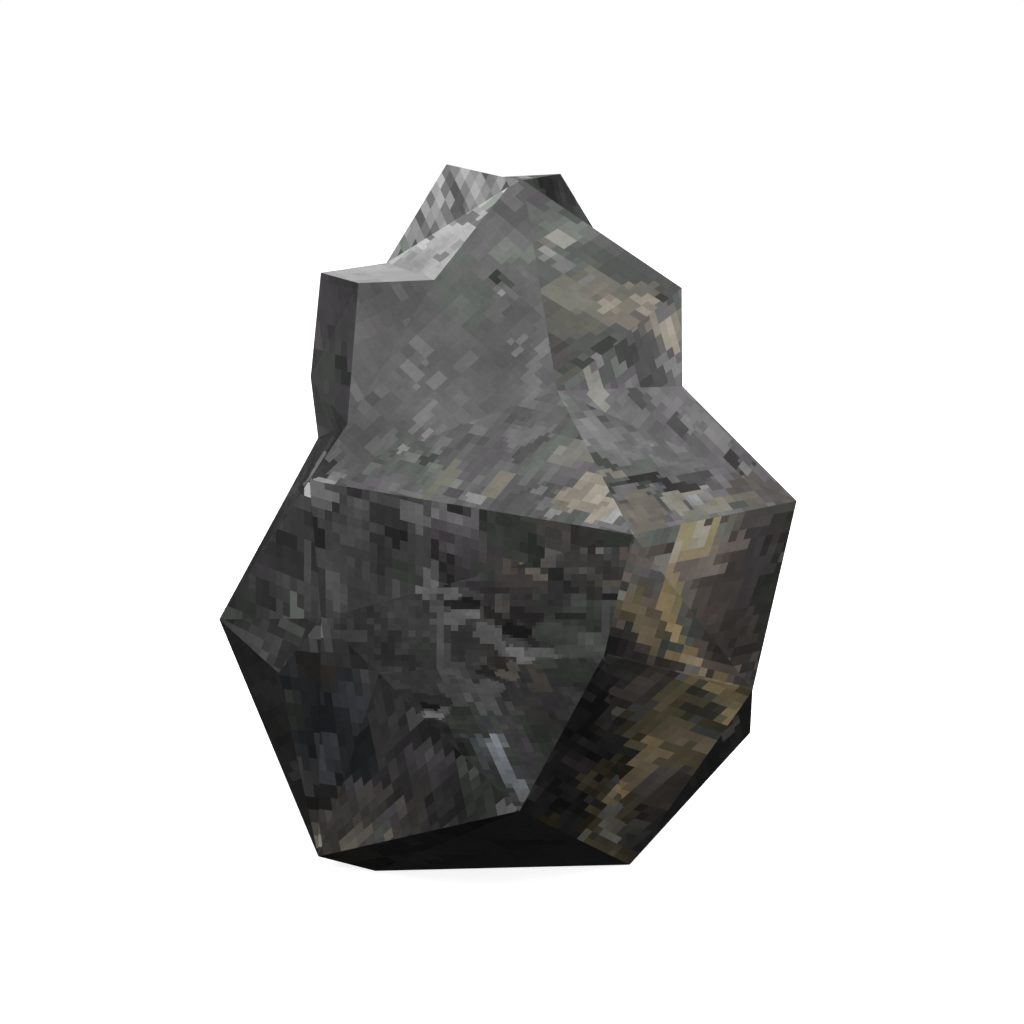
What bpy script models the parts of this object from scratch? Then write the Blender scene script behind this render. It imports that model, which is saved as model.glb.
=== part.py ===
"""A boulder of black marble: one solid block, broken to flat facets.

A wide belly overhangs a small flat foot.  A sloping ledge runs around the top
of the belly, and a narrower, notched crown block stands on it.
Metres, +Z up.  The origin is on the ground, under the middle of the block's
bounding box; -Y is the front, +X the right-hand side.
"""
import bmesh
import bpy
from mathutils import Vector

# Driving dimensions, in metres.
HEIGHT = 0.513          # foot to the tip of the crown
WIDTH = 0.412           # across the belly, left to right
DEPTH = 0.342           # ledge point at the front to the belly at the back

# The corners are given in millimetres on a block of this size, then brought to
# the driving dimensions, so that the stone can be resized along each axis.
DRAWN_WIDTH = 412.0
DRAWN_DEPTH = 342.0
DRAWN_HEIGHT = 513.0

# Foot: the flat polygon that the stone rests on.
FOOT = {
    "foot_front_left": (-90, -27, 0),
    "foot_front_right": (100, -16, 0),
    "foot_right": (113, 51, 0),
    "foot_back_right": (55, 109, 0),
    "foot_back_left": (-53, 103, 0),
    "foot_left": (-103, 39, 0),
}

# Underside and lower belly, where the block widens from the foot.
LOWER = {
    "heel_left": (-133, -21, 9),
    "keel_front": (17, -119, 87),
    "keel_right": (191, 11, 95),
    "keel_back_right": (124, 120, 96),
    "keel_back_left": (-98, 132, 84),
}

# Belly: the widest part.
BELLY = {
    "belly_left": (-206, 15, 183),
    "belly_left_chip": (-157, -32, 157),
    "belly_front_left": (-124, -44, 202),
    "belly_front": (-82, -66, 168),
    "belly_front_right": (72, -156, 212),
    "belly_right": (184, -47, 149),
    "belly_back_right": (194, 76, 196),
    "belly_back": (33, 171, 200),
    "belly_back_left": (-160, 108, 196),
}

# Ledge: the rim where the shelf breaks down into the sides.
LEDGE = {
    "ledge_left": (-130, -41, 302),
    "ledge_front": (88, -171, 297),
    "ledge_right": (206, -77, 296),
    "ledge_back_right": (174, 62, 290),
    "ledge_back": (44, 154, 316),
    "ledge_back_left": (-126, 126, 280),
    "ledge_left_back": (-131, 33, 317),
}

# Neck: where the crown block stands up out of the shelf.
NECK = {
    "neck_left": (-103, -37, 341),
    "neck_front": (42, -81, 373),
    "neck_right": (131, -25, 366),
    "neck_back_right": (110, 70, 350),
    "neck_back": (-12, 110, 352),
    "neck_back_left": (-98, 98, 346),
    "neck_left_back": (-136, 39, 361),
}

# Shoulder: the lower steps of the crown block.
SHOULDER = {
    "shoulder_front_left": (-97, 8, 434),
    "shoulder_inner": (-42, -22, 440),
    "shoulder_left": (-128, 53, 436),
    "shoulder_notch": (-80, 53, 443),
    "shoulder_right": (131, -3, 432),
    "shoulder_back_right": (112, 74, 408),
    "shoulder_back": (24, 122, 446),
    "shoulder_back_left": (-86, 112, 416),
    "notch_right": (63, 55, 466),
    "notch_back_right": (75, 79, 461),
}

# Crown: the small broken top.
CROWN = {
    "crown_left": (-36, 69, 513),
    "crown_middle": (5, -2, 509),
    "crown_front_left": (12, -16, 509),
    "crown_chip": (9, -17, 503),
    "crown_front": (19, -19, 508),
    "crown_right": (46, 27, 509),
    "crown_back": (-20, 84, 470),
}

# The facets, each named by its corners.  Every one is a single flat break.
FRONT = [
    ("crown_middle", "crown_right", "crown_front", "crown_front_left"),
    ("crown_left", "crown_middle", "crown_front_left", "crown_chip", "shoulder_notch"),
    ("shoulder_notch", "crown_chip", "shoulder_inner"),
    ("shoulder_left", "shoulder_notch", "shoulder_inner", "shoulder_front_left"),
    ("crown_front", "crown_right", "notch_right"),
    ("shoulder_front_left", "shoulder_inner", "neck_left"),
    ("shoulder_inner", "crown_chip", "crown_front_left", "crown_front",
     "neck_front", "ledge_left", "neck_left"),
    ("neck_front", "ledge_front", "ledge_left"),
    ("crown_front", "shoulder_right", "neck_front"),
    ("shoulder_right", "neck_right", "neck_front"),
    ("neck_front", "neck_right", "ledge_right"),
    ("neck_front", "ledge_right", "ledge_front"),
    ("ledge_left", "ledge_front", "belly_front_left"),
    ("belly_front_left", "ledge_front", "belly_front_right"),
    ("belly_front_left", "belly_front_right", "belly_front"),
    ("belly_front", "belly_front_right", "keel_front"),
    ("belly_front", "keel_front", "heel_left"),
    ("belly_front_left", "belly_front", "heel_left"),
    ("belly_front_left", "heel_left", "belly_left_chip"),
    ("heel_left", "keel_front", "foot_front_left"),
    ("foot_front_left", "keel_front", "foot_front_right"),
]
RIGHT = [
    ("ledge_front", "ledge_right", "belly_right"),
    ("ledge_front", "belly_right", "belly_front_right"),
    ("belly_front_right", "belly_right", "foot_front_right"),
    ("belly_front_right", "foot_front_right", "keel_front"),
    ("belly_right", "keel_right", "foot_front_right"),
    ("crown_right", "notch_back_right", "notch_right"),
    ("crown_front", "notch_right", "shoulder_right"),
    ("notch_right", "shoulder_back_right", "shoulder_right"),
    ("notch_right", "notch_back_right", "shoulder_back_right"),
    ("shoulder_right", "shoulder_back_right", "neck_back_right"),
    ("shoulder_right", "neck_back_right", "neck_right"),
    ("neck_right", "neck_back_right", "ledge_back_right"),
    ("neck_right", "ledge_back_right", "ledge_right"),
    ("ledge_right", "ledge_back_right", "belly_back_right"),
    ("ledge_right", "belly_back_right", "belly_right"),
    ("belly_right", "belly_back_right", "keel_right"),
    ("keel_right", "foot_right", "foot_front_right"),
    ("keel_right", "belly_back_right", "keel_back_right"),
    ("keel_right", "keel_back_right", "foot_right"),
]
BACK = [
    ("crown_middle", "crown_right", "crown_back"),
    ("crown_left", "crown_middle", "crown_back"),
    ("crown_right", "crown_back", "notch_back_right"),
    ("crown_back", "shoulder_back", "notch_back_right"),
    ("notch_back_right", "shoulder_back", "shoulder_back_right"),
    ("shoulder_notch", "crown_left", "crown_back"),
    ("shoulder_notch", "crown_back", "shoulder_back_left"),
    ("crown_back", "shoulder_back", "shoulder_back_left"),
    ("shoulder_back_left", "shoulder_back", "neck_back"),
    ("shoulder_back_left", "neck_back", "neck_back_left"),
    ("shoulder_back", "shoulder_back_right", "neck_back"),
    ("shoulder_back_right", "neck_back_right", "neck_back"),
    ("neck_back_left", "neck_back", "ledge_back_left"),
    ("neck_back", "ledge_back", "ledge_back_left"),
    ("neck_back", "neck_back_right", "ledge_back_right"),
    ("neck_back", "ledge_back_right", "ledge_back"),
    ("ledge_back_left", "ledge_back", "belly_back"),
    ("ledge_back_left", "belly_back", "belly_back_left"),
    ("ledge_back", "ledge_back_right", "belly_back_right"),
    ("ledge_back", "belly_back_right", "belly_back"),
    ("belly_back_left", "belly_back", "keel_back_left"),
    ("belly_back", "keel_back_right", "keel_back_left"),
    ("belly_back", "belly_back_right", "keel_back_right"),
    ("keel_back_left", "foot_back_left", "foot_left"),
    ("keel_back_left", "keel_back_right", "foot_back_right"),
    ("keel_back_left", "foot_back_right", "foot_back_left"),
    ("keel_back_right", "foot_right", "foot_back_right"),
]
LEFT = [
    ("shoulder_left", "shoulder_front_left", "neck_left_back"),
    ("shoulder_front_left", "neck_left", "neck_left_back"),
    ("neck_left_back", "neck_left", "ledge_left_back"),
    ("ledge_left_back", "neck_left", "ledge_left"),
    ("ledge_left_back", "ledge_left", "belly_left"),
    ("ledge_left", "belly_front_left", "belly_left"),
    ("belly_left", "belly_front_left", "belly_left_chip"),
    ("belly_left", "belly_left_chip", "heel_left"),
    ("shoulder_left", "shoulder_notch", "shoulder_back_left"),
    ("shoulder_left", "shoulder_back_left", "neck_back_left"),
    ("shoulder_left", "neck_back_left", "neck_left_back"),
    ("neck_left_back", "neck_back_left", "ledge_left_back"),
    ("ledge_left_back", "neck_back_left", "ledge_back_left"),
    ("ledge_left_back", "ledge_back_left", "belly_back_left"),
    ("ledge_left_back", "belly_back_left", "belly_left"),
    ("belly_left", "belly_back_left", "keel_back_left"),
    ("belly_left", "keel_back_left", "foot_left"),
    ("belly_left", "foot_left", "heel_left"),
    ("heel_left", "foot_left", "foot_front_left"),
]
BASE = [
    ("foot_front_left", "foot_front_right", "foot_right",
     "foot_back_right", "foot_back_left", "foot_left"),
]


def clear_scene():
    for item in list(bpy.data.objects):
        bpy.data.objects.remove(item, do_unlink=True)


def to_metres(corner):
    x, y, z = corner
    return Vector((
        x * WIDTH / DRAWN_WIDTH,
        y * DEPTH / DRAWN_DEPTH,
        z * HEIGHT / DRAWN_HEIGHT,
    ))


def marble_material():
    material = bpy.data.materials.new("black_marble")
    material.use_nodes = True
    shader = material.node_tree.nodes["Principled BSDF"]
    shader.inputs["Base Color"].default_value = (0.065, 0.064, 0.066, 1.0)
    shader.inputs["Roughness"].default_value = 0.45
    shader.inputs["Metallic"].default_value = 0.0
    return material


def marble_rock():
    stone = bmesh.new()
    corners = {}
    for level in (FOOT, LOWER, BELLY, LEDGE, NECK, SHOULDER, CROWN):
        for name, place in level.items():
            corners[name] = stone.verts.new(to_metres(place))
    for side in (FRONT, RIGHT, BACK, LEFT, BASE):
        for facet in side:
            stone.faces.new([corners[name] for name in facet])

    # Facets with more than three corners are flat to a fraction of a millimetre;
    # cutting them into triangles makes them exactly flat.
    bmesh.ops.triangulate(stone, faces=stone.faces[:])
    bmesh.ops.recalc_face_normals(stone, faces=stone.faces[:])

    mesh = bpy.data.meshes.new("marble_rock")
    stone.to_mesh(mesh)
    stone.free()
    rock = bpy.data.objects.new("marble_rock", mesh)
    bpy.context.scene.collection.objects.link(rock)
    rock.data.materials.append(marble_material())
    return rock


clear_scene()
marble_rock()
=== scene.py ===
import math

import bmesh
import bpy
from mathutils import Euler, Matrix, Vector, noise
from mathutils.bvhtree import BVHTree


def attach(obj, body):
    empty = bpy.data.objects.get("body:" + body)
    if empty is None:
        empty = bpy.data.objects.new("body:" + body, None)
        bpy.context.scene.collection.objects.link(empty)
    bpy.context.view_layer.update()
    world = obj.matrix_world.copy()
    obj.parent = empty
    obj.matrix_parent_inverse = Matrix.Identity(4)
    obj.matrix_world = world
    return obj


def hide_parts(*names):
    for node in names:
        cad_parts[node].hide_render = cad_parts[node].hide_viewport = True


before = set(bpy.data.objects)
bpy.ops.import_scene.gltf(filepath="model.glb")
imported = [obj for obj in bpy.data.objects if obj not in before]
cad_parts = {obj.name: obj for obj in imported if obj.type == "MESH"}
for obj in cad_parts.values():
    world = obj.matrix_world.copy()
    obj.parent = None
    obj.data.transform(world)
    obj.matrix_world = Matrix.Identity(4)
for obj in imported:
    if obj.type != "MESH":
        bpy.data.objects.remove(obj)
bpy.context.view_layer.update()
print("frame loaded")

cameraSettings = {
    "place": (0.0117, -1.3438, 0.6040),  # metres
    "tilt": 76.0,                        # degrees up from looking straight down
    "fieldOfView": 30.0,                 # degrees, across the whole view
    "viewSize": 1024,                    # pixels along each side of the view
}


def makeCamera(settings):
    data = bpy.data.cameras.new("frontCamera")
    data.lens_unit = "FOV"
    data.angle = math.radians(settings["fieldOfView"])
    camera = bpy.data.objects.new("frontCamera", data)
    camera.location = settings["place"]
    camera.rotation_euler = (math.radians(settings["tilt"]), 0.0, 0.0)
    bpy.context.scene.collection.objects.link(camera)
    bpy.context.scene.camera = camera


def frontView(settings):
    # the fixed front view in which the breaks and their markings are laid out
    turn = Euler((math.radians(settings["tilt"]), 0.0, 0.0)).to_matrix()
    middle = settings["viewSize"] / 2
    reach = middle / math.tan(math.radians(settings["fieldOfView"]) / 2)
    eye = Vector(settings["place"])

    def sight(x, y):
        # the way from the eye through a pixel of the view
        return turn @ Vector(((x - middle) / reach, (middle - y) / reach, -1.0))

    def seenAt(point):
        # the pixel at which a point of the stone is seen
        local = turn.transposed() @ (point - eye)
        return (middle - reach * local.x / local.z, middle + reach * local.y / local.z)

    return eye, sight, seenAt


makeCamera(cameraSettings)
eye, sight, seenAt = frontView(cameraSettings)
print("camera set")

# What each tint does to the grey of the marble: red, green and blue.
tints = {
    "grey": (1.00, 1.00, 1.00),
    "violet": (1.02, 0.96, 1.02),
    "green": (0.97, 1.06, 0.97),
    "brown": (1.15, 0.98, 0.87),
    "umber": (1.07, 0.99, 0.93),
    "moss": (1.07, 1.05, 0.88),
    "olive": (1.24, 1.09, 0.64),
    "gold": (1.37, 1.05, 0.56),
    "sand": (1.13, 1.02, 0.85),
    "tan": (1.29, 1.03, 0.68),
    "cream": (1.11, 1.04, 0.85),
    "ivory": (1.04, 1.03, 0.93),
    "blue": (0.91, 1.00, 1.09),
    "plum": (1.06, 0.94, 1.00),
    "black": (1.02, 1.00, 0.98),
}

# Each flat break of the stone has its own lie of mineral blocks, in pixels of the front
# view: "at" is a place on each of its main triangles, and "along" and "across" are the
# two edges of one block, laid from the first place.  "tone" is how pale the break is
# drawn: mostly the marble's own paleness, but on the breaks marked below it also holds a
# painted highlight or painted shade; "spread" how unlike its blocks are, "tint" the
# colour that it leans to, and "hues" how far its blocks drift to green or violet, where
# that isn't as far as marble["hues"].
# "zone" is the list of markings that it shares; without one it has that of its name.
breaks = {
    "crownTop": dict(
        at=[(530, 177)], along=(12, 0), across=(3, 1.2),
        tone=1.86, spread=0.9, tint="grey"),
    # crownLeft, crownChip and shoulderTop face upward: their high tones are partly pale marble and
    # partly a painted highlight for the sheen and top light that upward faces catch.
    "crownLeft": dict(
        at=[(450, 210), (510, 184), (465, 209), (507, 181)], along=(5, 10.5), across=(5, -10),
        tone=2.32, spread=0.6, hues=0.15, zone="crest", tint="grey"),
    # high tone partly pale marble, partly painted highlight of an upward face
    "crownChip": dict(
        at=[(440, 255)], along=(10, -8), across=(5, 3.5),
        tone=3.76, spread=0.22, hues=0.15, zone="crest", tint="grey"),
    # high tone partly pale marble, partly painted highlight of an upward face
    "shoulderTop": dict(
        at=[(380, 272), (355, 273)], along=(14, -1), across=(6, 3),
        tone=2.22, spread=0.2, hues=0.15, tint="grey"),
    "crownNotch": dict(
        at=[(550, 190), (576, 212)], along=(5, 1), across=(3, 12),
        tone=0.35, spread=0.6, tint="green"),
    "shoulderFace": dict(
        at=[(385, 310)], along=(8, -4), across=(9, 15),
        tone=1.36, spread=0.2, hues=0.08, zone="front", tint="grey"),
    "crownFace": dict(
        at=[(470, 350)], along=(9, 8), across=(9, -8.2),
        tone=1.48, spread=0.17, hues=0.12, zone="front", tint="grey"),
    "apronRight": dict(
        at=[(540, 480)], along=(8, 2), across=(7, -8.3),
        tone=1.1, spread=0.34, hues=0.22, zone="front", tint="grey"),
    "ridgeFace": dict(
        at=[(590, 290)], along=(13, 8), across=(13, -8.5),
        tone=0.77, spread=0.27, zone="ridge", tint="green"),
    "ridgeSide": dict(
        at=[(640, 360)], along=(6, -4.5), across=(2.6, 9),
        tone=0.93, spread=0.3, zone="ridge", tint="violet"),
    "shelfUpper": dict(
        at=[(680, 420)], along=(6.2, 6.2), across=(5, -6),
        tone=0.89, spread=0.25, hues=0.18, zone="shelf", tint="violet"),
    "shelfLower": dict(
        at=[(650, 480)], along=(8.5, -1.5), across=(5.5, 6.5),
        tone=0.83, spread=0.42, zone="shelf", tint="grey"),
    "neckSide": dict(
        at=[(335, 340), (325, 290)], along=(6, 1.5), across=(0, 14),
        tone=0.85, spread=0.3, tint="violet"),
    "neckSideLow": dict(
        at=[(325, 415)], along=(5, 2), across=(4, 14),
        tone=1.95, spread=0.4, tint="green"),
    "flankLeft": dict(
        at=[(322, 440), (290, 500)], along=(-3.6, 5.6), across=(1.3, 1.0),
        tone=0.23, spread=0.7, tint="green"),
    "bellyLeft": dict(
        at=[(290, 590)], along=(7, 2.8), across=(0, 14),
        tone=1.06, spread=0.42, tint="grey"),
    "bellyLeftChip": dict(
        at=[(275, 635)], along=(8, 4), across=(-3, 9),
        tone=0.76, spread=0.42, tint="grey"),
    "bellyUpper": dict(
        at=[(400, 540)], along=(7.7, 2.1), across=(0, 10.2),
        tone=1.3, spread=0.36, zone="belly", tint="grey"),
    "bellyMiddle": dict(
        at=[(540, 600), (400, 650)], along=(7.65, 0), across=(-0.1, 6.4),
        tone=1.38, spread=0.36, zone="belly", tint="grey"),
    "bellyLower": dict(
        at=[(520, 720)], along=(7.6, 0), across=(2.1, 4.6),
        tone=1.2, spread=0.4, zone="belly", tint="grey"),
    "bellyToe": dict(
        at=[(420, 780)], along=(8.3, -7.4), across=(2, 9.5),
        tone=1.03, spread=0.46, zone="belly", tint="grey"),
    "bellyHeel": dict(
        at=[(335, 720)], along=(8, 1), across=(1.9, 13.5),
        tone=1.15, spread=0.46, zone="belly", tint="grey"),
    "bellyHeelLeft": dict(
        at=[(292, 690)], along=(8, 1), across=(1.9, 13.5),
        tone=0.67, spread=0.4, zone="belly", tint="blue"),
    "sideUpper": dict(
        at=[(740, 570)], along=(7.6, -1.5), across=(-3.6, 10.5),
        tone=0.97, spread=0.24, zone="side", tint="brown"),
    "sideMiddle": dict(
        at=[(660, 620)], along=(7.6, 2), across=(-2.8, 8.7),
        tone=0.7, spread=0.42, zone="side", tint="brown"),
    "sideLower": dict(
        at=[(690, 740)], along=(8.5, 2.8), across=(-7.5, 6.5),
        tone=0.87, spread=0.46, zone="side", tint="olive"),
    "sideToe": dict(
        at=[(590, 750)], along=(6.5, 3.7), across=(-5.5, 6.2),
        tone=0.82, spread=0.7, zone="side", tint="black"),
    # sideEdge faces down: its tone, far darker than its neighbours', is partly dark stone and
    # partly painted shade.
    "sideEdge": dict(
        at=[(725, 750)], along=(6, -5), across=(1, 4),
        tone=0.17, spread=0.4, tint="grey"),
    "flankUnder": dict(
        at=[(270, 720)], along=(5, 8), across=(6, -3),
        tone=0.72, spread=0.26, tint="black"),
    # underLeft and underRight are the underside, facing down: their low tones are partly dark
    # stone and partly painted shade.
    "underLeft": dict(
        at=[(400, 848)], along=(12, -2), across=(10, 5),
        tone=0.37, spread=0.5, tint="black"),
    # low tone partly dark stone, partly painted shade of the underside
    "underRight": dict(
        at=[(520, 850)], along=(12, 0), across=(10, 5),
        tone=0.51, spread=0.16, tint="black"),
}

# Where the blocks are half as long and half as wide: a middle in the front view, and
# how far round it.
fineSpots = {
    "flankLeft": [(330, 450, 34), (308, 482, 16)],
    "shelfUpper": [(735, 462, 20), (685, 428, 22), (638, 396, 16)],
    "shelfLower": [(640, 484, 46), (685, 488, 30)],
    "ridgeFace": [(592, 352, 46), (558, 236, 30), (655, 298, 26), (600, 292, 30)],
    "crownFace": [
        (332, 456, 18), (505, 285, 32), (527, 372, 40), (415, 440, 34), (420, 395, 30),
        (540, 345, 20),
    ],
    "apronRight": [
        (410, 460, 36), (472, 497, 13), (530, 440, 26), (335, 475, 20), (545, 505, 24),
        (610, 515, 16),
    ],
    "crownChip": [(440, 250, 34), (465, 220, 24)],
    "crownLeft": [(470, 218, 14)],
    "bellyMiddle": [(545, 640, 26), (515, 640, 24), (470, 610, 22)],
    "bellyLower": [(435, 712, 20), (505, 674, 18)],
}

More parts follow.
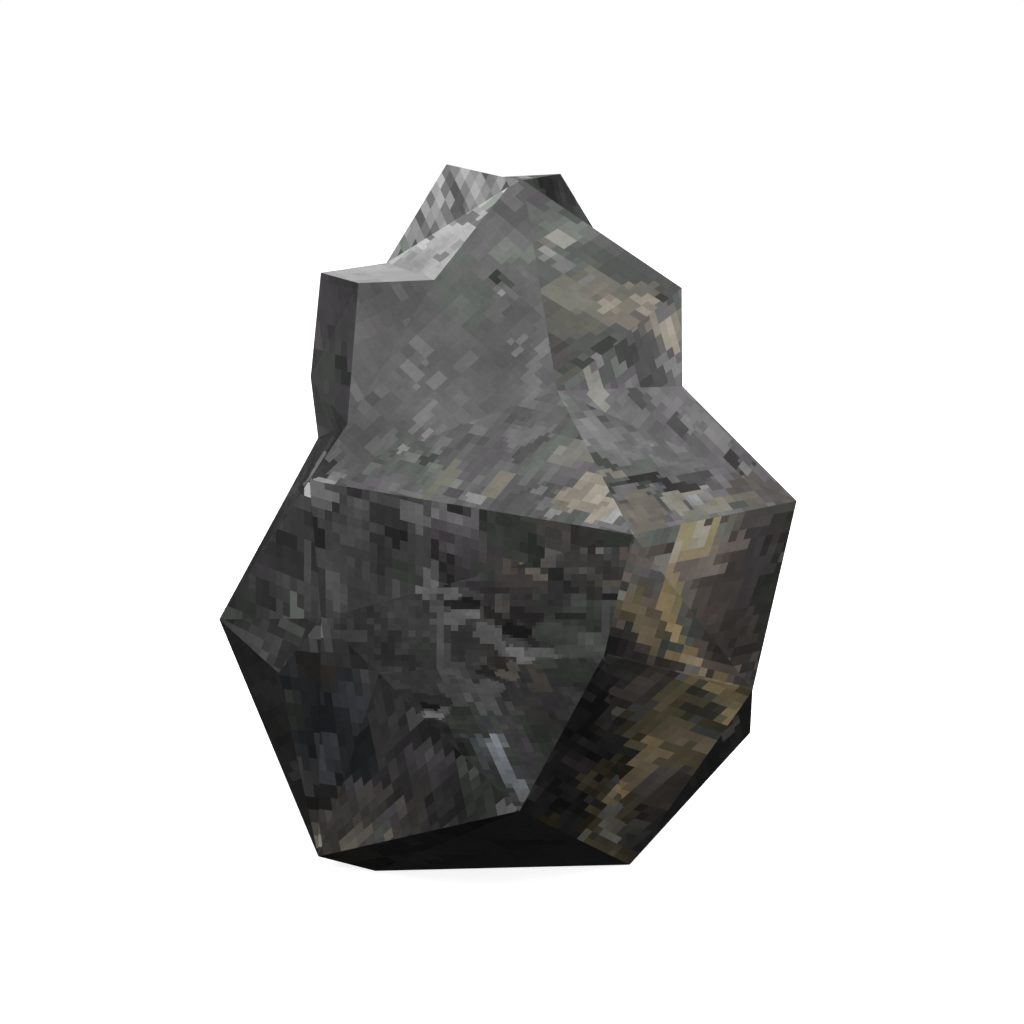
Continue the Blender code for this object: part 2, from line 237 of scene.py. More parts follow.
# Veins, patches and flecks of the breaks that the front shows.  Each is a stroke: its
# two ends in the front view, half its width, how many times paler than the break it
# is, and its tint.  A later stroke lies over an earlier one.
markings = {
    "crest": [
        (440, 172, 453, 178, 4.2, 0.6, "grey"), (417, 210, 431, 238, 2.5, 0.45, "grey"),
        (403, 240, 410, 253, 3, 0.9, "green"), (438, 198, 447, 224, 4.2, 1.5, "grey"),
        (468, 182, 478, 202, 4.2, 1.45, "grey"), (496, 180, 506, 189, 4.2, 1.6, "grey"),
        (486, 173, 488, 177, 2.5, 0.45, "violet"), (414, 222, 424, 244, 3.4, 1.5, "grey"),
        (428, 200, 434, 214, 3.4, 1.35, "grey"), (452, 224, 462, 206, 3.4, 1.25, "grey"),
        (437, 230, 452, 222, 2.5, 0.7, "grey"), (392, 256, 400, 246, 3.4, 1.35, "grey"),
        (480, 186, 498, 194, 6, 1.45, "grey"), (486, 206, 500, 199, 4, 0.85, "green"),
        (462, 222, 474, 212, 5.1, 0.85, "grey"), (436, 258, 443, 256, 3, 0.55, "grey"),
        (452, 248, 460, 243, 3, 0.8, "grey"), (402, 262, 412, 256, 2.5, 0.75, "grey"),
        (440, 232, 462, 222, 4.2, 1.2, "grey"), (447, 178, 458, 200, 2.5, 0.45, "grey"),
        (458, 200, 465, 215, 3.4, 0.45, "grey"), (465, 215, 475, 222, 3.4, 0.5, "grey"),
        (480, 228, 509, 193, 4.5, 0.4, "grey"), (450, 188, 462, 212, 4, 0.3, "grey"),
        (444, 207, 450, 222, 3.4, 0.7, "grey"), (461, 219, 472, 217, 4, 0.42, "grey"),
        (408, 230, 413, 244, 4, 1.2, "grey"), (437, 184, 444, 190, 4, 0.62, "grey"),
        (427, 222, 430, 230, 3.4, 1.5, "grey"), (452, 205, 456, 214, 3.4, 0.4, "grey"),
        (408, 232, 411, 240, 4, 1.6, "grey"), (430, 194, 435, 198, 4, 0.65, "grey"),
        (505, 186, 510, 183, 4, 1.5, "grey"), (402, 245, 405, 248, 3.4, 1.25, "green"),
        (455, 171, 459, 175, 4, 0.9, "grey"), (430, 220, 432, 226, 3.4, 1.3, "grey"),
    ],
    "shoulderTop": [
        (335, 272, 420, 268, 2, 1.15, "grey"), (345, 278, 400, 279, 2, 1.1, "grey"),
    ],
    "crownNotch": [
        (528, 182, 540, 192, 6, 1.9, "green"), (563, 180, 570, 204, 7, 0.85, "grey"),
        (583, 190, 590, 226, 8.5, 1.8, "grey"),
    ],
    "front": [
        (396, 285, 408, 300, 3, 1.12, "grey"), (365, 300, 372, 330, 4.3, 1.12, "violet"),
        (352, 380, 356, 395, 4, 1.4, "grey"), (505, 196, 526, 214, 11, 0.84, "grey"),
        (452, 262, 470, 306, 20, 0.98, "green"), (505, 252, 530, 252, 7.7, 1.35, "green"),
        (514, 238, 522, 243, 4.3, 1.22, "grey"), (466, 268, 486, 274, 4.3, 1.16, "grey"),
        (492, 277, 497, 273, 2.6, 0.34, "green"), (497, 281, 498, 282, 2.6, 0.3, "green"),
        (502, 277, 509, 285, 3, 0.62, "green"), (500, 292, 500, 294, 3.4, 2.2, "grey"),
        (507, 291, 514, 298, 2.8, 1.2, "grey"), (519, 268, 536, 276, 4.3, 1.2, "grey"),
        (415, 347, 424, 356, 6, 1.4, "grey"), (410, 366, 421, 384, 5.2, 1.5, "grey"),
        (441, 374, 428, 392, 4.3, 1.5, "grey"), (411, 431, 434, 403, 3.4, 1.6, "grey"),
        (436, 408, 443, 415, 3.4, 1.25, "grey"), (423, 436, 428, 431, 3.4, 2, "grey"),
        (440, 428, 447, 421, 3.4, 1.4, "grey"), (386, 439, 395, 431, 4.3, 1.55, "grey"),
        (548, 340, 541, 352, 4.3, 1.5, "grey"), (535, 362, 530, 380, 5.2, 1.35, "grey"),
        (538, 384, 530, 403, 4.3, 1.42, "grey"), (508, 342, 523, 338, 3.4, 1.45, "grey"),
        (517, 351, 520, 353, 3.4, 1.55, "grey"), (470, 350, 480, 400, 12, 0.94, "grey"),
        (375, 300, 400, 340, 10, 0.96, "grey"), (460, 374, 470, 362, 5.2, 1.15, "grey"),
        (484, 322, 506, 306, 4.3, 1.1, "grey"), (355, 440, 395, 400, 4.3, 0.94, "grey"),
        (330, 466, 342, 454, 4.3, 0.8, "violet"), (317, 476, 326, 464, 6.5, 0.33, "grey"),
        (395, 450, 440, 478, 16, 0.98, "green"), (400, 448, 405, 447, 3.4, 2.1, "grey"),
        (407, 458, 419, 456, 3.4, 1.5, "grey"), (424, 460, 434, 458, 3.4, 0.5, "green"),
        (333, 478, 341, 474, 3.4, 1.75, "grey"), (368, 470, 376, 466, 3.4, 1.3, "green"),
        (313, 478, 334, 484, 1.7, 2.6, "grey"), (446, 460, 464, 430, 7, 0.7, "grey"),
        (374, 446, 392, 438, 6, 1.3, "grey"), (430, 494, 464, 461, 4.3, 1.35, "moss"),
        (404, 492, 420, 498, 3.4, 1.45, "grey"), (487, 495, 509, 476, 5.2, 1.6, "cream"),
        (468, 496, 481, 499, 3.4, 2.2, "grey"), (440, 495, 462, 490, 3.4, 0.7, "violet"),
        (506, 444, 538, 431, 5.2, 1.35, "grey"), (518, 457, 546, 441, 5.2, 0.66, "grey"),
        (576, 425, 526, 468, 6, 1, "green"), (560, 458, 590, 441, 6.5, 1.6, "ivory"),
        (562, 478, 592, 464, 5.2, 1.12, "violet"), (566, 501, 606, 482, 10, 2.2, "sand"),
        (596, 494, 606, 488, 7, 3.1, "sand"), (600, 507, 612, 502, 5, 2.8, "sand"),
        (588, 478, 604, 480, 4.3, 2.4, "sand"), (582, 516, 602, 509, 5.2, 1.9, "sand"),
        (590, 519, 606, 513, 5, 2.6, "sand"), (606, 523, 620, 511, 4.3, 3.2, "grey"),
        (547, 516, 557, 510, 3.4, 2, "grey"), (540, 507, 548, 503, 4.3, 1.35, "grey"),
        (537, 492, 543, 490, 3.4, 1.65, "grey"), (586, 526, 622, 528, 3.4, 1.5, "grey"),
        (500, 500, 530, 504, 6, 0.9, "grey"), (540, 480, 548, 476, 3.4, 1.3, "grey"),
        (470, 470, 500, 446, 7.7, 0.9, "violet"), (558, 522, 586, 516, 4.3, 0.95, "green"),
        (350, 486, 400, 478, 4.3, 1.15, "violet"), (340, 444, 330, 458, 2.5, 1.1, "grey"),
        (315, 474, 321, 475, 3, 0.4, "grey"), (319, 470, 323, 476, 3.5, 0.4, "grey"),
        (586, 457, 592, 453, 4, 1.45, "ivory"), (561, 504, 564, 507, 4, 1.4, "cream"),
        (373, 394, 378, 399, 4, 0.68, "violet"), (382, 452, 387, 456, 4, 1.1, "green"),
        (511, 193, 515, 198, 7, 1.2, "grey"), (424, 386, 427, 391, 4, 1, "grey"),
        (399, 365, 403, 370, 4, 0.85, "grey"),
    ],
    "ridge": [
        (548, 213, 575, 226, 14, 1.25, "green"), (545, 208, 556, 203, 7, 1.35, "green"),
        (528, 190, 546, 197, 7, 1, "violet"), (530, 200, 538, 205, 6, 0.85, "violet"),
        (565, 212, 592, 228, 3.5, 0.82, "green"), (572, 228, 584, 232, 6, 1.7, "green"),
        (556, 238, 568, 243, 7, 2.7, "ivory"), (543, 246, 550, 242, 4, 1.5, "moss"),
        (546, 254, 552, 255, 5, 2.5, "grey"), (540, 258, 543, 262, 4, 1.9, "grey"),
        (556, 258, 573, 266, 4, 1.75, "grey"), (576, 252, 604, 258, 7, 0.92, "green"),
        (548, 270, 575, 282, 7, 0.98, "green"), (566, 286, 584, 278, 5, 1.2, "moss"),
        (592, 272, 628, 294, 6, 1.55, "moss"), (586, 278, 592, 279, 4, 1.8, "grey"),
        (628, 284, 650, 296, 4.5, 1.95, "cream"), (637, 281, 653, 288, 3.5, 1.45, "moss"),
        (613, 275, 625, 282, 4, 1.05, "grey"), (604, 262, 625, 274, 6, 0.82, "green"),
        (596, 240, 650, 270, 8, 0.98, "grey"), (628, 276, 634, 280, 4, 0.8, "green"),
        (655, 290, 661, 294, 4, 0.78, "umber"), (662, 294, 669, 302, 4.5, 0.42, "umber"),
        (672, 292, 680, 302, 6, 0.85, "green"), (560, 292, 648, 304, 11, 1.45, "moss"),
        (562, 297, 602, 308, 7, 1.65, "moss"), (578, 308, 598, 313, 5, 1.6, "moss"),
        (607, 306, 621, 306, 7, 2.6, "sand"), (588, 294, 604, 290, 5, 1.65, "sand"),
        (628, 303, 640, 306, 5, 1.6, "sand"), (638, 300, 652, 305, 5, 2.7, "sand"),
        (590, 318, 606, 322, 6, 1.45, "moss"), (612, 318, 634, 320, 7, 1.5, "sand"),
        (602, 329, 625, 330, 5, 1.02, "umber"), (550, 312, 590, 330, 10, 1.02, "moss"),
        (546, 340, 562, 354, 8, 0.66, "umber"), (559, 347, 570, 342, 4, 0.5, "umber"),
        (576, 346, 620, 336, 8, 0.66, "green"), (599, 351, 612, 343, 4.5, 0.36, "green"),
        (576, 361, 588, 365, 4.5, 0.48, "green"), (556, 369, 567, 371, 5, 0.62, "green"),
        (550, 360, 560, 365, 4, 0.75, "violet"), (562, 379, 576, 373, 5, 0.92, "moss"),
        (571, 386, 581, 375, 5, 1.25, "green"), (598, 357, 602, 362, 3.5, 1.8, "grey"),
        (592, 374, 598, 384, 6, 2.2, "ivory"), (598, 384, 604, 400, 6.5, 2.3, "ivory"),
        (608, 382, 612, 356, 5, 0.85, "green"), (618, 359, 623, 372, 4, 1.4, "green"),
        (625, 335, 645, 365, 10, 0.75, "grey"), (623, 353, 630, 347, 4.5, 0.46, "green"),
        (629, 359, 634, 351, 4, 0.44, "violet"), (641, 383, 648, 376, 4, 0.5, "grey"),
        (653, 385, 661, 377, 4, 0.62, "grey"), (630, 384, 634, 378, 4, 1.55, "grey"),
        (640, 314, 644, 334, 6, 1.05, "umber"), (649, 342, 656, 374, 7, 0.76, "grey"),
        (651, 310, 656, 328, 5.5, 1.9, "sand"), (656, 330, 660, 341, 4.5, 1.95, "sand"),
        (661, 343, 664, 356, 4, 1.25, "umber"), (668, 318, 675, 345, 6, 2.4, "sand"),
        (680, 324, 681, 340, 3, 1.9, "sand"), (663, 358, 676, 366, 6, 1.75, "grey"),
        (672, 362, 676, 374, 5, 2, "grey"), (661, 303, 664, 318, 4, 1.3, "grey"),
        (677, 310, 681, 320, 4, 1.35, "moss"), (616, 348, 621, 344, 4, 0.42, "green"),
        (640, 308, 645, 312, 4, 2.4, "sand"),
    ],
    "shelf": [
        (610, 412, 645, 432, 16, 1.18, "grey"), (610, 425, 640, 447, 14, 1.25, "grey"),
        (592, 415, 604, 444, 7, 1.4, "grey"), (600, 452, 614, 453, 7, 1.4, "grey"),
        (597, 392, 602, 399, 7, 1.85, "ivory"), (617, 400, 626, 414, 8, 1.05, "grey"),
        (632, 389, 644, 404, 5, 0.52, "grey"), (648, 397, 652, 404, 4, 0.75, "grey"),
        (655, 391, 662, 400, 5, 1.2, "grey"), (668, 403, 676, 411, 4, 1.22, "grey"),
        (690, 408, 697, 418, 4, 1.22, "grey"), (654, 424, 666, 437, 6, 0.85, "grey"),
        (673, 419, 688, 436, 5.5, 0.5, "grey"), (690, 439, 697, 447, 4.5, 0.78, "grey"),
        (684, 420, 692, 430, 3, 1.35, "grey"), (700, 432, 706, 428, 3.5, 1.25, "grey"),
        (702, 424, 708, 433, 3.5, 0.9, "grey"), (712, 430, 724, 447, 5.5, 1.38, "grey"),
        (731, 457, 739, 470, 5, 0.24, "violet"), (744, 462, 749, 458, 5, 0.69, "violet"),
        (745, 468, 752, 474, 4, 1.3, "grey"), (757, 464, 760, 467, 3, 0.35, "grey"),
        (776, 482, 783, 487, 3.5, 0.58, "umber"), (690, 462, 704, 458, 8, 0.82, "grey"),
        (710, 467, 730, 478, 9, 0.9, "violet"), (660, 451, 670, 455, 6, 0.87, "grey"),
        (596, 460, 610, 467, 4.5, 0.47, "green"), (604, 472, 610, 473, 3.5, 1.5, "cream"),
        (618, 475, 628, 474, 3.5, 1.5, "cream"), (608, 479, 617, 483, 4, 0.69, "green"),
        (630, 469, 648, 466, 6, 0.87, "green"), (676, 470, 692, 468, 6, 0.9, "grey"),
        (612, 488, 632, 484, 4, 0.35, "green"), (632, 480, 642, 477, 3.5, 0.14, "green"),
        (640, 478, 656, 474, 3.5, 0.14, "green"), (650, 480, 664, 483, 4, 0.16, "black"),
        (664, 485, 672, 489, 4, 0.16, "black"), (672, 490, 690, 485, 4, 0.18, "black"),
        (690, 483, 703, 480, 4.5, 0.41, "grey"), (696, 475, 707, 473, 4, 0.43, "grey"),
        (682, 479, 690, 477, 3.5, 0.51, "grey"), (657, 485, 662, 489, 3, 0.81, "blue"),
        (620, 493, 648, 489, 6, 1.3, "grey"), (634, 497, 648, 498, 6, 1.3, "cream"),
        (660, 494, 668, 498, 4, 0.69, "green"), (651, 498, 664, 512, 5, 0.58, "green"),
        (667, 498, 690, 516, 5, 1.9, "moss"), (676, 496, 684, 494, 4, 1.5, "cream"),
        (690, 494, 703, 494, 3, 1.5, "cream"), (692, 499, 703, 505, 5, 1.8, "grey"),
        (706, 497, 716, 493, 6, 1.1, "grey"), (716, 501, 732, 497, 5, 1.1, "cream"),
        (716, 486, 732, 481, 8, 0.87, "violet"), (738, 485, 762, 488, 9, 0.56, "umber"),
        (740, 500, 758, 496, 4, 0.94, "cream"), (762, 490, 790, 500, 8, 0.65, "umber"),
        (724, 507, 746, 505, 3.5, 0.63, "green"), (690, 516, 722, 508, 6, 1.4, "moss"),
        (624, 513, 650, 505, 8, 1.2, "sand"), (640, 519, 660, 512, 6, 1, "sand"),
        (653, 523, 662, 520, 5, 0.81, "umber"), (640, 529, 660, 526, 6, 1, "sand"),
        (672, 526, 684, 522, 4, 1.3, "violet"), (682, 489, 697, 487, 3, 0.2, "black"),
        (640, 485, 649, 482, 3, 0.35, "green"), (616, 459, 624, 463, 4, 1.45, "grey"),
        (709, 482, 714, 486, 4, 0.57, "grey"),
    ],
    "neckSide": [
        (316, 322, 320, 345, 7, 1.25, "violet"), (340, 362, 350, 374, 8, 0.5, "green"),
        (322, 350, 326, 372, 8, 0.95, "green"), (350, 300, 354, 360, 6, 1.15, "violet"),
        (320, 333, 323, 341, 4, 1.8, "plum"),
    ],
    "neckSideLow": [
        (338, 424, 346, 416, 3, 0.35, "violet"), (314, 395, 320, 420, 5, 0.85, "violet"),
    ],
    "flankLeft": [
        (322, 440, 316, 470, 9, 0.9, "green"), (341, 437, 326, 462, 2.6, 2.5, "grey"),
        (341, 430, 315, 472, 1.6, 0.04, "plum"), (333, 438, 324, 452, 1.3, 2, "grey"),
        (324, 453, 307, 480, 1.8, 7.5, "grey"), (332, 432, 300, 486, 2, 0.7, "green"),
        (305, 485, 308, 489, 3.5, 5, "grey"), (322, 436, 326, 430, 2, 0.5, "grey"),
        (276, 532, 300, 488, 2.5, 0.5, "grey"), (296, 490, 286, 510, 2, 1.6, "grey"),
    ],
    "bellyLeft": [
        (305, 486, 308, 490, 3.4, 13, "grey"), (285, 520, 296, 531, 8, 1.35, "violet"),
        (288, 578, 297, 590, 7, 1.45, "violet"), (293, 600, 298, 615, 5, 2.8, "green"),
        (287, 620, 291, 633, 6, 2.2, "green"), (282, 545, 296, 572, 10, 0.6, "grey"),
        (309, 545, 310, 582, 4, 1.8, "grey"), (276, 607, 280, 634, 5, 1.6, "grey"),
        (224, 612, 234, 620, 8, 2, "green"), (260, 560, 264, 572, 6, 1.1, "violet"),
        (246, 600, 250, 620, 6, 0.85, "green"), (312, 582, 316, 610, 4, 1.1, "grey"),
        (262, 588, 268, 604, 7, 0.75, "grey"), (264, 546, 269, 551, 4, 1, "violet"),
        (303, 501, 307, 504, 3.5, 1.7, "grey"),
    ],
    "bellyLeftChip": [
        (232, 630, 268, 652, 7, 1.6, "grey"), (288, 652, 284, 662, 6, 0.6, "grey"),
        (270, 640, 276, 648, 6, 1.3, "grey"), (288, 622, 296, 630, 5, 1.7, "green"),
        (268, 651, 273, 656, 4, 1, "grey"),
    ],
    "belly": [
        (345, 640, 425, 662, 18, 0.68, "grey"), (330, 810, 330, 846, 9, 1.6, "umber"),
        (455, 545, 476, 570, 15, 1, "violet"), (498, 560, 530, 590, 16, 0.86, "plum"),
        (522, 604, 526, 616, 15, 0.6, "plum"), (550, 600, 596, 622, 16, 0.84, "green"),
        (500, 520, 530, 548, 18, 0.8, "green"), (330, 690, 338, 770, 26, 0.56, "blue"),
        (368, 706, 372, 745, 10, 0.78, "blue"), (312, 740, 316, 770, 12, 0.62, "blue"),
        (290, 690, 300, 780, 14, 0.62, "blue"), (306, 668, 324, 674, 10, 0.7, "grey"),
        (400, 750, 470, 800, 34, 0.8, "violet"), (372, 800, 350, 835, 22, 1.45, "umber"),
        (392, 812, 420, 800, 20, 1.05, "umber"), (470, 780, 482, 812, 14, 0.95, "green"),
        (450, 700, 470, 740, 16, 0.85, "green"), (540, 720, 560, 760, 22, 0.85, "green"),
        (313, 487, 332, 494, 5.4, 3, "grey"), (312, 500, 325, 505, 3.6, 2.1, "grey"),
        (353, 489, 354, 495, 4.5, 0.56, "grey"), (338, 503, 339, 510, 3.6, 0.56, "grey"),
        (346, 505, 352, 536, 4.5, 1.2, "grey"), (337, 523, 349, 531, 4.5, 1.3, "grey"),
        (315, 527, 322, 546, 5.4, 0.33, "grey"), (374, 515, 402, 522, 7.2, 0.56, "grey"),
        (390, 532, 402, 540, 7.2, 0.36, "grey"), (377, 538, 378, 574, 4.5, 0.56, "grey"),
        (408, 509, 422, 522, 7.2, 2.3, "grey"), (431, 504, 434, 510, 3.6, 2.8, "grey"),
        (447, 512, 463, 524, 7.2, 2.1, "violet"), (448, 540, 474, 568, 13, 1.1, "violet"),
        (474, 512, 477, 536, 4.5, 1.5, "violet"), (434, 548, 440, 562, 3.6, 0.42, "plum"),
        (447, 562, 449, 582, 4.5, 0.42, "grey"), (423, 574, 432, 592, 4.5, 2, "grey"),
        (431, 562, 433, 576, 3.6, 1.6, "grey"), (486, 518, 526, 548, 13, 0.68, "green"),
        (530, 545, 538, 558, 6.3, 0.47, "green"), (548, 528, 570, 540, 11, 1.1, "umber"),
        (580, 534, 594, 544, 8.1, 0.52, "umber"), (606, 534, 628, 544, 7.2, 0.66, "green"),
        (331, 573, 340, 604, 5.4, 1.5, "grey"), (318, 572, 322, 610, 4.5, 0.66, "grey"),
        (448, 505, 472, 510, 1.5, 0.45, "grey"), (360, 545, 372, 560, 7.2, 0.99, "grey"),
        (412, 545, 424, 560, 7.2, 0.99, "grey"), (355, 516, 366, 520, 5.4, 0.99, "grey"),
        (396, 566, 414, 576, 6.3, 0.84, "green"), (330, 548, 344, 566, 5.4, 0.99, "grey"),
        (599, 552, 602, 553, 3.6, 2.4, "grey"), (551, 552, 555, 560, 3.6, 1.8, "grey"),
        (545, 562, 553, 566, 3.6, 1.6, "umber"), (528, 571, 540, 577, 4.5, 2.2, "sand"),
        (551, 573, 562, 574, 3.6, 0.44, "grey"), (594, 560, 616, 574, 7.2, 0.74, "umber"),
        (565, 586, 577, 587, 3.6, 0.44, "grey"), (608, 596, 617, 596, 2.7, 0.32, "grey"),
        (482, 590, 505, 592, 3.6, 0.54, "plum"), (518, 612, 536, 616, 5.4, 0.44, "plum"),
        (512, 600, 536, 606, 5.4, 0.74, "plum"), (482, 603, 492, 608, 3.6, 0.74, "umber"),
        (487, 612, 512, 622, 4.5, 0.41, "umber"), (496, 602, 507, 610, 4.5, 1.4, "umber"),
        (452, 604, 476, 604, 4.5, 0.39, "grey"), (465, 601, 478, 602, 2.7, 0.25, "grey"),
        (509, 629, 526, 634, 5.4, 0.22, "grey"), (530, 640, 535, 644, 3.6, 0.49, "grey"),
        (443, 592, 456, 595, 3.6, 2.4, "grey"), (450, 613, 476, 614, 3.6, 2.5, "grey"),
        (470, 613, 477, 615, 2.7, 3.2, "grey"), (443, 619, 462, 620, 3.6, 2.2, "grey"),
        (441, 625, 443, 650, 5.4, 1.9, "grey"), (436, 604, 440, 622, 4.5, 1.5, "grey"),
        (481, 626, 496, 634, 4.5, 2.1, "grey"), (494, 634, 504, 652, 4.5, 2.1, "grey"),
        (512, 651, 528, 655, 4.5, 3.3, "grey"), (530, 653, 557, 654, 4.5, 2.2, "grey"),
        (522, 660, 536, 660, 3.6, 3, "grey"), (542, 632, 600, 640, 8.1, 1.1, "green"),
        (583, 638, 602, 644, 6.3, 1.5, "green"), (560, 650, 600, 654, 4.5, 1.3, "green"),
        (562, 616, 582, 618, 3.6, 0.44, "grey"), (610, 600, 606, 640, 3.6, 1.3, "grey"),
        (560, 600, 574, 602, 3.6, 1.3, "grey"), (450, 632, 470, 650, 10, 0.84, "grey"),
        (540, 586, 560, 600, 7.2, 0.69, "grey"), (505, 582, 540, 584, 5.4, 0.89, "umber"),
        (420, 640, 434, 668, 6.3, 0.71, "green"), (370, 600, 384, 612, 5.4, 0.84, "grey"),
        (480, 566, 492, 576, 4.5, 0.75, "green"), (572, 555, 590, 560, 5.4, 0.79, "umber"),
        (600, 582, 616, 584, 3.6, 1.5, "cream"), (320, 624, 327, 634, 4.5, 1.7, "grey"),
        (335, 634, 360, 636, 4.5, 1.2, "grey"), (380, 655, 420, 668, 7.2, 0.74, "grey"),
        (480, 648, 490, 655, 4.5, 0.79, "umber"), (507, 641, 520, 644, 2.7, 1.2, "grey"),
        (496, 660, 510, 668, 5.4, 0.61, "umber"), (483, 671, 492, 674, 3.6, 0.44, "umber"),
        (500, 674, 514, 677, 3.6, 1.9, "sand"), (532, 671, 543, 687, 5.4, 1.2, "sand"),
        (461, 665, 472, 690, 4.5, 1.3, "grey"), (468, 687, 490, 689, 5.4, 1.6, "grey"),
        (464, 695, 470, 699, 2.7, 2.1, "grey"), (485, 700, 492, 712, 6.3, 1.6, "grey"),
        (484, 728, 510, 730, 4.5, 1.4, "blue"), (494, 746, 507, 774, 6, 3.6, "blue"),
        (509, 777, 513, 787, 6, 2.9, "blue"), (501, 740, 509, 741, 4.5, 2.8, "blue"),
        (486, 739, 488, 742, 4, 4.5, "blue"), (494, 738, 496, 743, 4, 4.7, "blue"),
        (508, 794, 518, 798, 4, 1.3, "grey"), (521, 785, 527, 788, 4.5, 3.2, "blue"),
        (470, 738, 484, 762, 6.3, 1.2, "blue"), (512, 750, 526, 772, 6.3, 0.92, "green"),
        (540, 730, 550, 746, 5.4, 0.66, "green"), (503, 720, 514, 736, 5.4, 1, "violet"),
        (520, 742, 530, 760, 6.3, 0.92, "violet"), (452, 715, 482, 734, 7.2, 0.79, "green"),
        (460, 744, 472, 757, 6.3, 0.44, "green"), (420, 698, 446, 702, 4.5, 0.53, "grey"),
        (400, 672, 440, 686, 7.2, 0.79, "grey"), (446, 680, 462, 706, 4.5, 1.1, "grey"),
        (524, 700, 548, 716, 10, 0.74, "umber"), (496, 684, 520, 700, 7.2, 0.7, "grey"),
        (560, 670, 590, 676, 6.3, 0.83, "green"), (545, 700, 565, 712, 6.3, 0.88, "violet"),
        (522, 792, 527, 797, 4.5, 2.7, "grey"), (516, 772, 530, 776, 3.6, 1.1, "blue"),
        (442, 650, 450, 668, 5.4, 1.4, "grey"), (494, 806, 506, 812, 6.3, 2.5, "grey"),
        (511, 808, 516, 811, 3.6, 3.5, "grey"), (345, 806, 375, 790, 14, 1.7, "umber"),
        (395, 830, 425, 800, 12, 1.2, "umber"), (352, 842, 366, 832, 5.4, 2.7, "cream"),
        (345, 847, 350, 845, 4.5, 3.1, "cream"), (378, 836, 390, 826, 5.4, 1.8, "green"),
        (350, 788, 357, 783, 3.6, 1.8, "violet"), (389, 815, 402, 804, 4.5, 1.6, "violet"),
        (396, 798, 406, 790, 5.4, 0.5, "violet"), (400, 835, 414, 830, 3.6, 1.4, "umber"),
        (333, 822, 346, 812, 7.2, 2, "umber"), (500, 785, 508, 792, 4.5, 0.7, "green"),
        (386, 840, 391, 838, 2.7, 3, "cream"), (313, 824, 318, 846, 4.5, 2.9, "grey"),
        (301, 765, 305, 790, 3.6, 1.7, "grey"), (322, 786, 328, 792, 4.5, 0.58, "violet"),
        (330, 800, 345, 798, 4.5, 1.1, "cream"), (306, 812, 312, 840, 3.6, 1.3, "grey"),
        (322, 835, 328, 850, 3.6, 1.4, "cream"), (306, 662, 326, 676, 8.1, 0.68, "umber"),
        (331, 676, 342, 684, 6.3, 0.9, "umber"), (342, 692, 356, 706, 10, 0.86, "blue"),
        (322, 704, 331, 724, 7.2, 0.48, "blue"), (352, 736, 366, 772, 10, 0.5, "blue"),
        (366, 734, 372, 752, 6.3, 0.42, "blue"), (344, 762, 350, 772, 6.3, 0.5, "blue"),
        (328, 742, 328, 778, 8.1, 1.4, "blue"), (322, 784, 332, 790, 5.4, 0.5, "violet"),
        (308, 798, 322, 803, 6.3, 0.5, "umber"), (376, 690, 384, 760, 6.3, 0.92, "grey"),
        (392, 708, 398, 740, 6.3, 1.12, "grey"), (406, 700, 410, 712, 4.5, 0.55, "grey"),
        (422, 724, 443, 739, 12, 0.48, "grey"), (446, 744, 456, 756, 6.3, 0.5, "grey"),
        (412, 712, 446, 710, 3.6, 1.5, "grey"), (414, 722, 420, 716, 4.5, 1.5, "grey"),
        (427, 715, 441, 716, 2.7, 3.2, "grey"), (423, 706, 437, 707, 2.7, 0.2, "grey"),
        (418, 754, 440, 768, 8.1, 1.25, "violet"), (444, 752, 452, 768, 6.3, 1.2, "violet"),
        (404, 764, 420, 756, 6.3, 1.1, "violet"), (396, 790, 402, 798, 5.4, 0.66, "violet"),
        (384, 776, 410, 782, 8.1, 0.85, "violet"), (440, 812, 460, 794, 15, 0.54, "violet"),
        (466, 770, 486, 816, 12, 1, "green"), (430, 776, 448, 772, 6.3, 0.95, "violet"),
        (289, 690, 294, 722, 5.4, 1.15, "green"), (293, 722, 298, 732, 4.5, 0.6, "green"),
        (300, 745, 306, 770, 4.5, 0.9, "blue"), (306, 652, 318, 632, 5.4, 2.8, "grey"),
        (295, 650, 304, 646, 4.5, 1.5, "grey"), (296, 663, 300, 672, 4.5, 0.75, "violet"),
        (302, 688, 313, 702, 7.2, 0.66, "blue"), (292, 706, 298, 724, 5.4, 0.72, "green"),
        (316, 764, 318, 780, 3.6, 1.3, "grey"), (305, 776, 310, 787, 3.6, 1.35, "grey"),
        (306, 798, 320, 802, 5.4, 0.45, "umber"), (311, 820, 313, 830, 3.1, 2.8, "cream"),
        (314, 836, 317, 848, 3.1, 6, "cream"), (438, 612, 440, 660, 4.5, 1.8, "grey"),
        (441, 662, 448, 690, 5.5, 1.55, "grey"), (452, 690, 462, 706, 5, 1.35, "grey"),
        (486, 702, 491, 711, 6.5, 2, "grey"), (492, 719, 498, 729, 6, 1.15, "green"),
        (462, 750, 500, 794, 3, 0.72, "green"), (374, 680, 390, 694, 7, 0.82, "grey"),
        (475, 512, 476, 528, 4.5, 2.2, "violet"), (482, 684, 498, 688, 5.5, 1.9, "grey"),
        (412, 738, 424, 732, 7, 0.5, "violet"), (384, 656, 412, 664, 6, 0.46, "grey"),
        (578, 580, 592, 590, 8, 0.6, "umber"), (312, 813, 322, 814, 5, 1.4, "umber"),
        (461, 766, 471, 771, 5, 1.9, "green"), (423, 726, 432, 722, 4, 0.4, "grey"),
        (480, 636, 490, 640, 4.5, 2, "grey"), (421, 590, 427, 593, 4.5, 3, "grey"),
        (456, 712, 466, 713, 5, 0.55, "green"), (511, 664, 514, 670, 4, 1.7, "umber"),
        (331, 830, 336, 838, 5, 1.6, "umber"), (532, 788, 538, 794, 3.4, 0.9, "blue"),
        (448, 744, 454, 748, 4, 0.5, "grey"), (466, 582, 475, 587, 4, 0.62, "violet"),
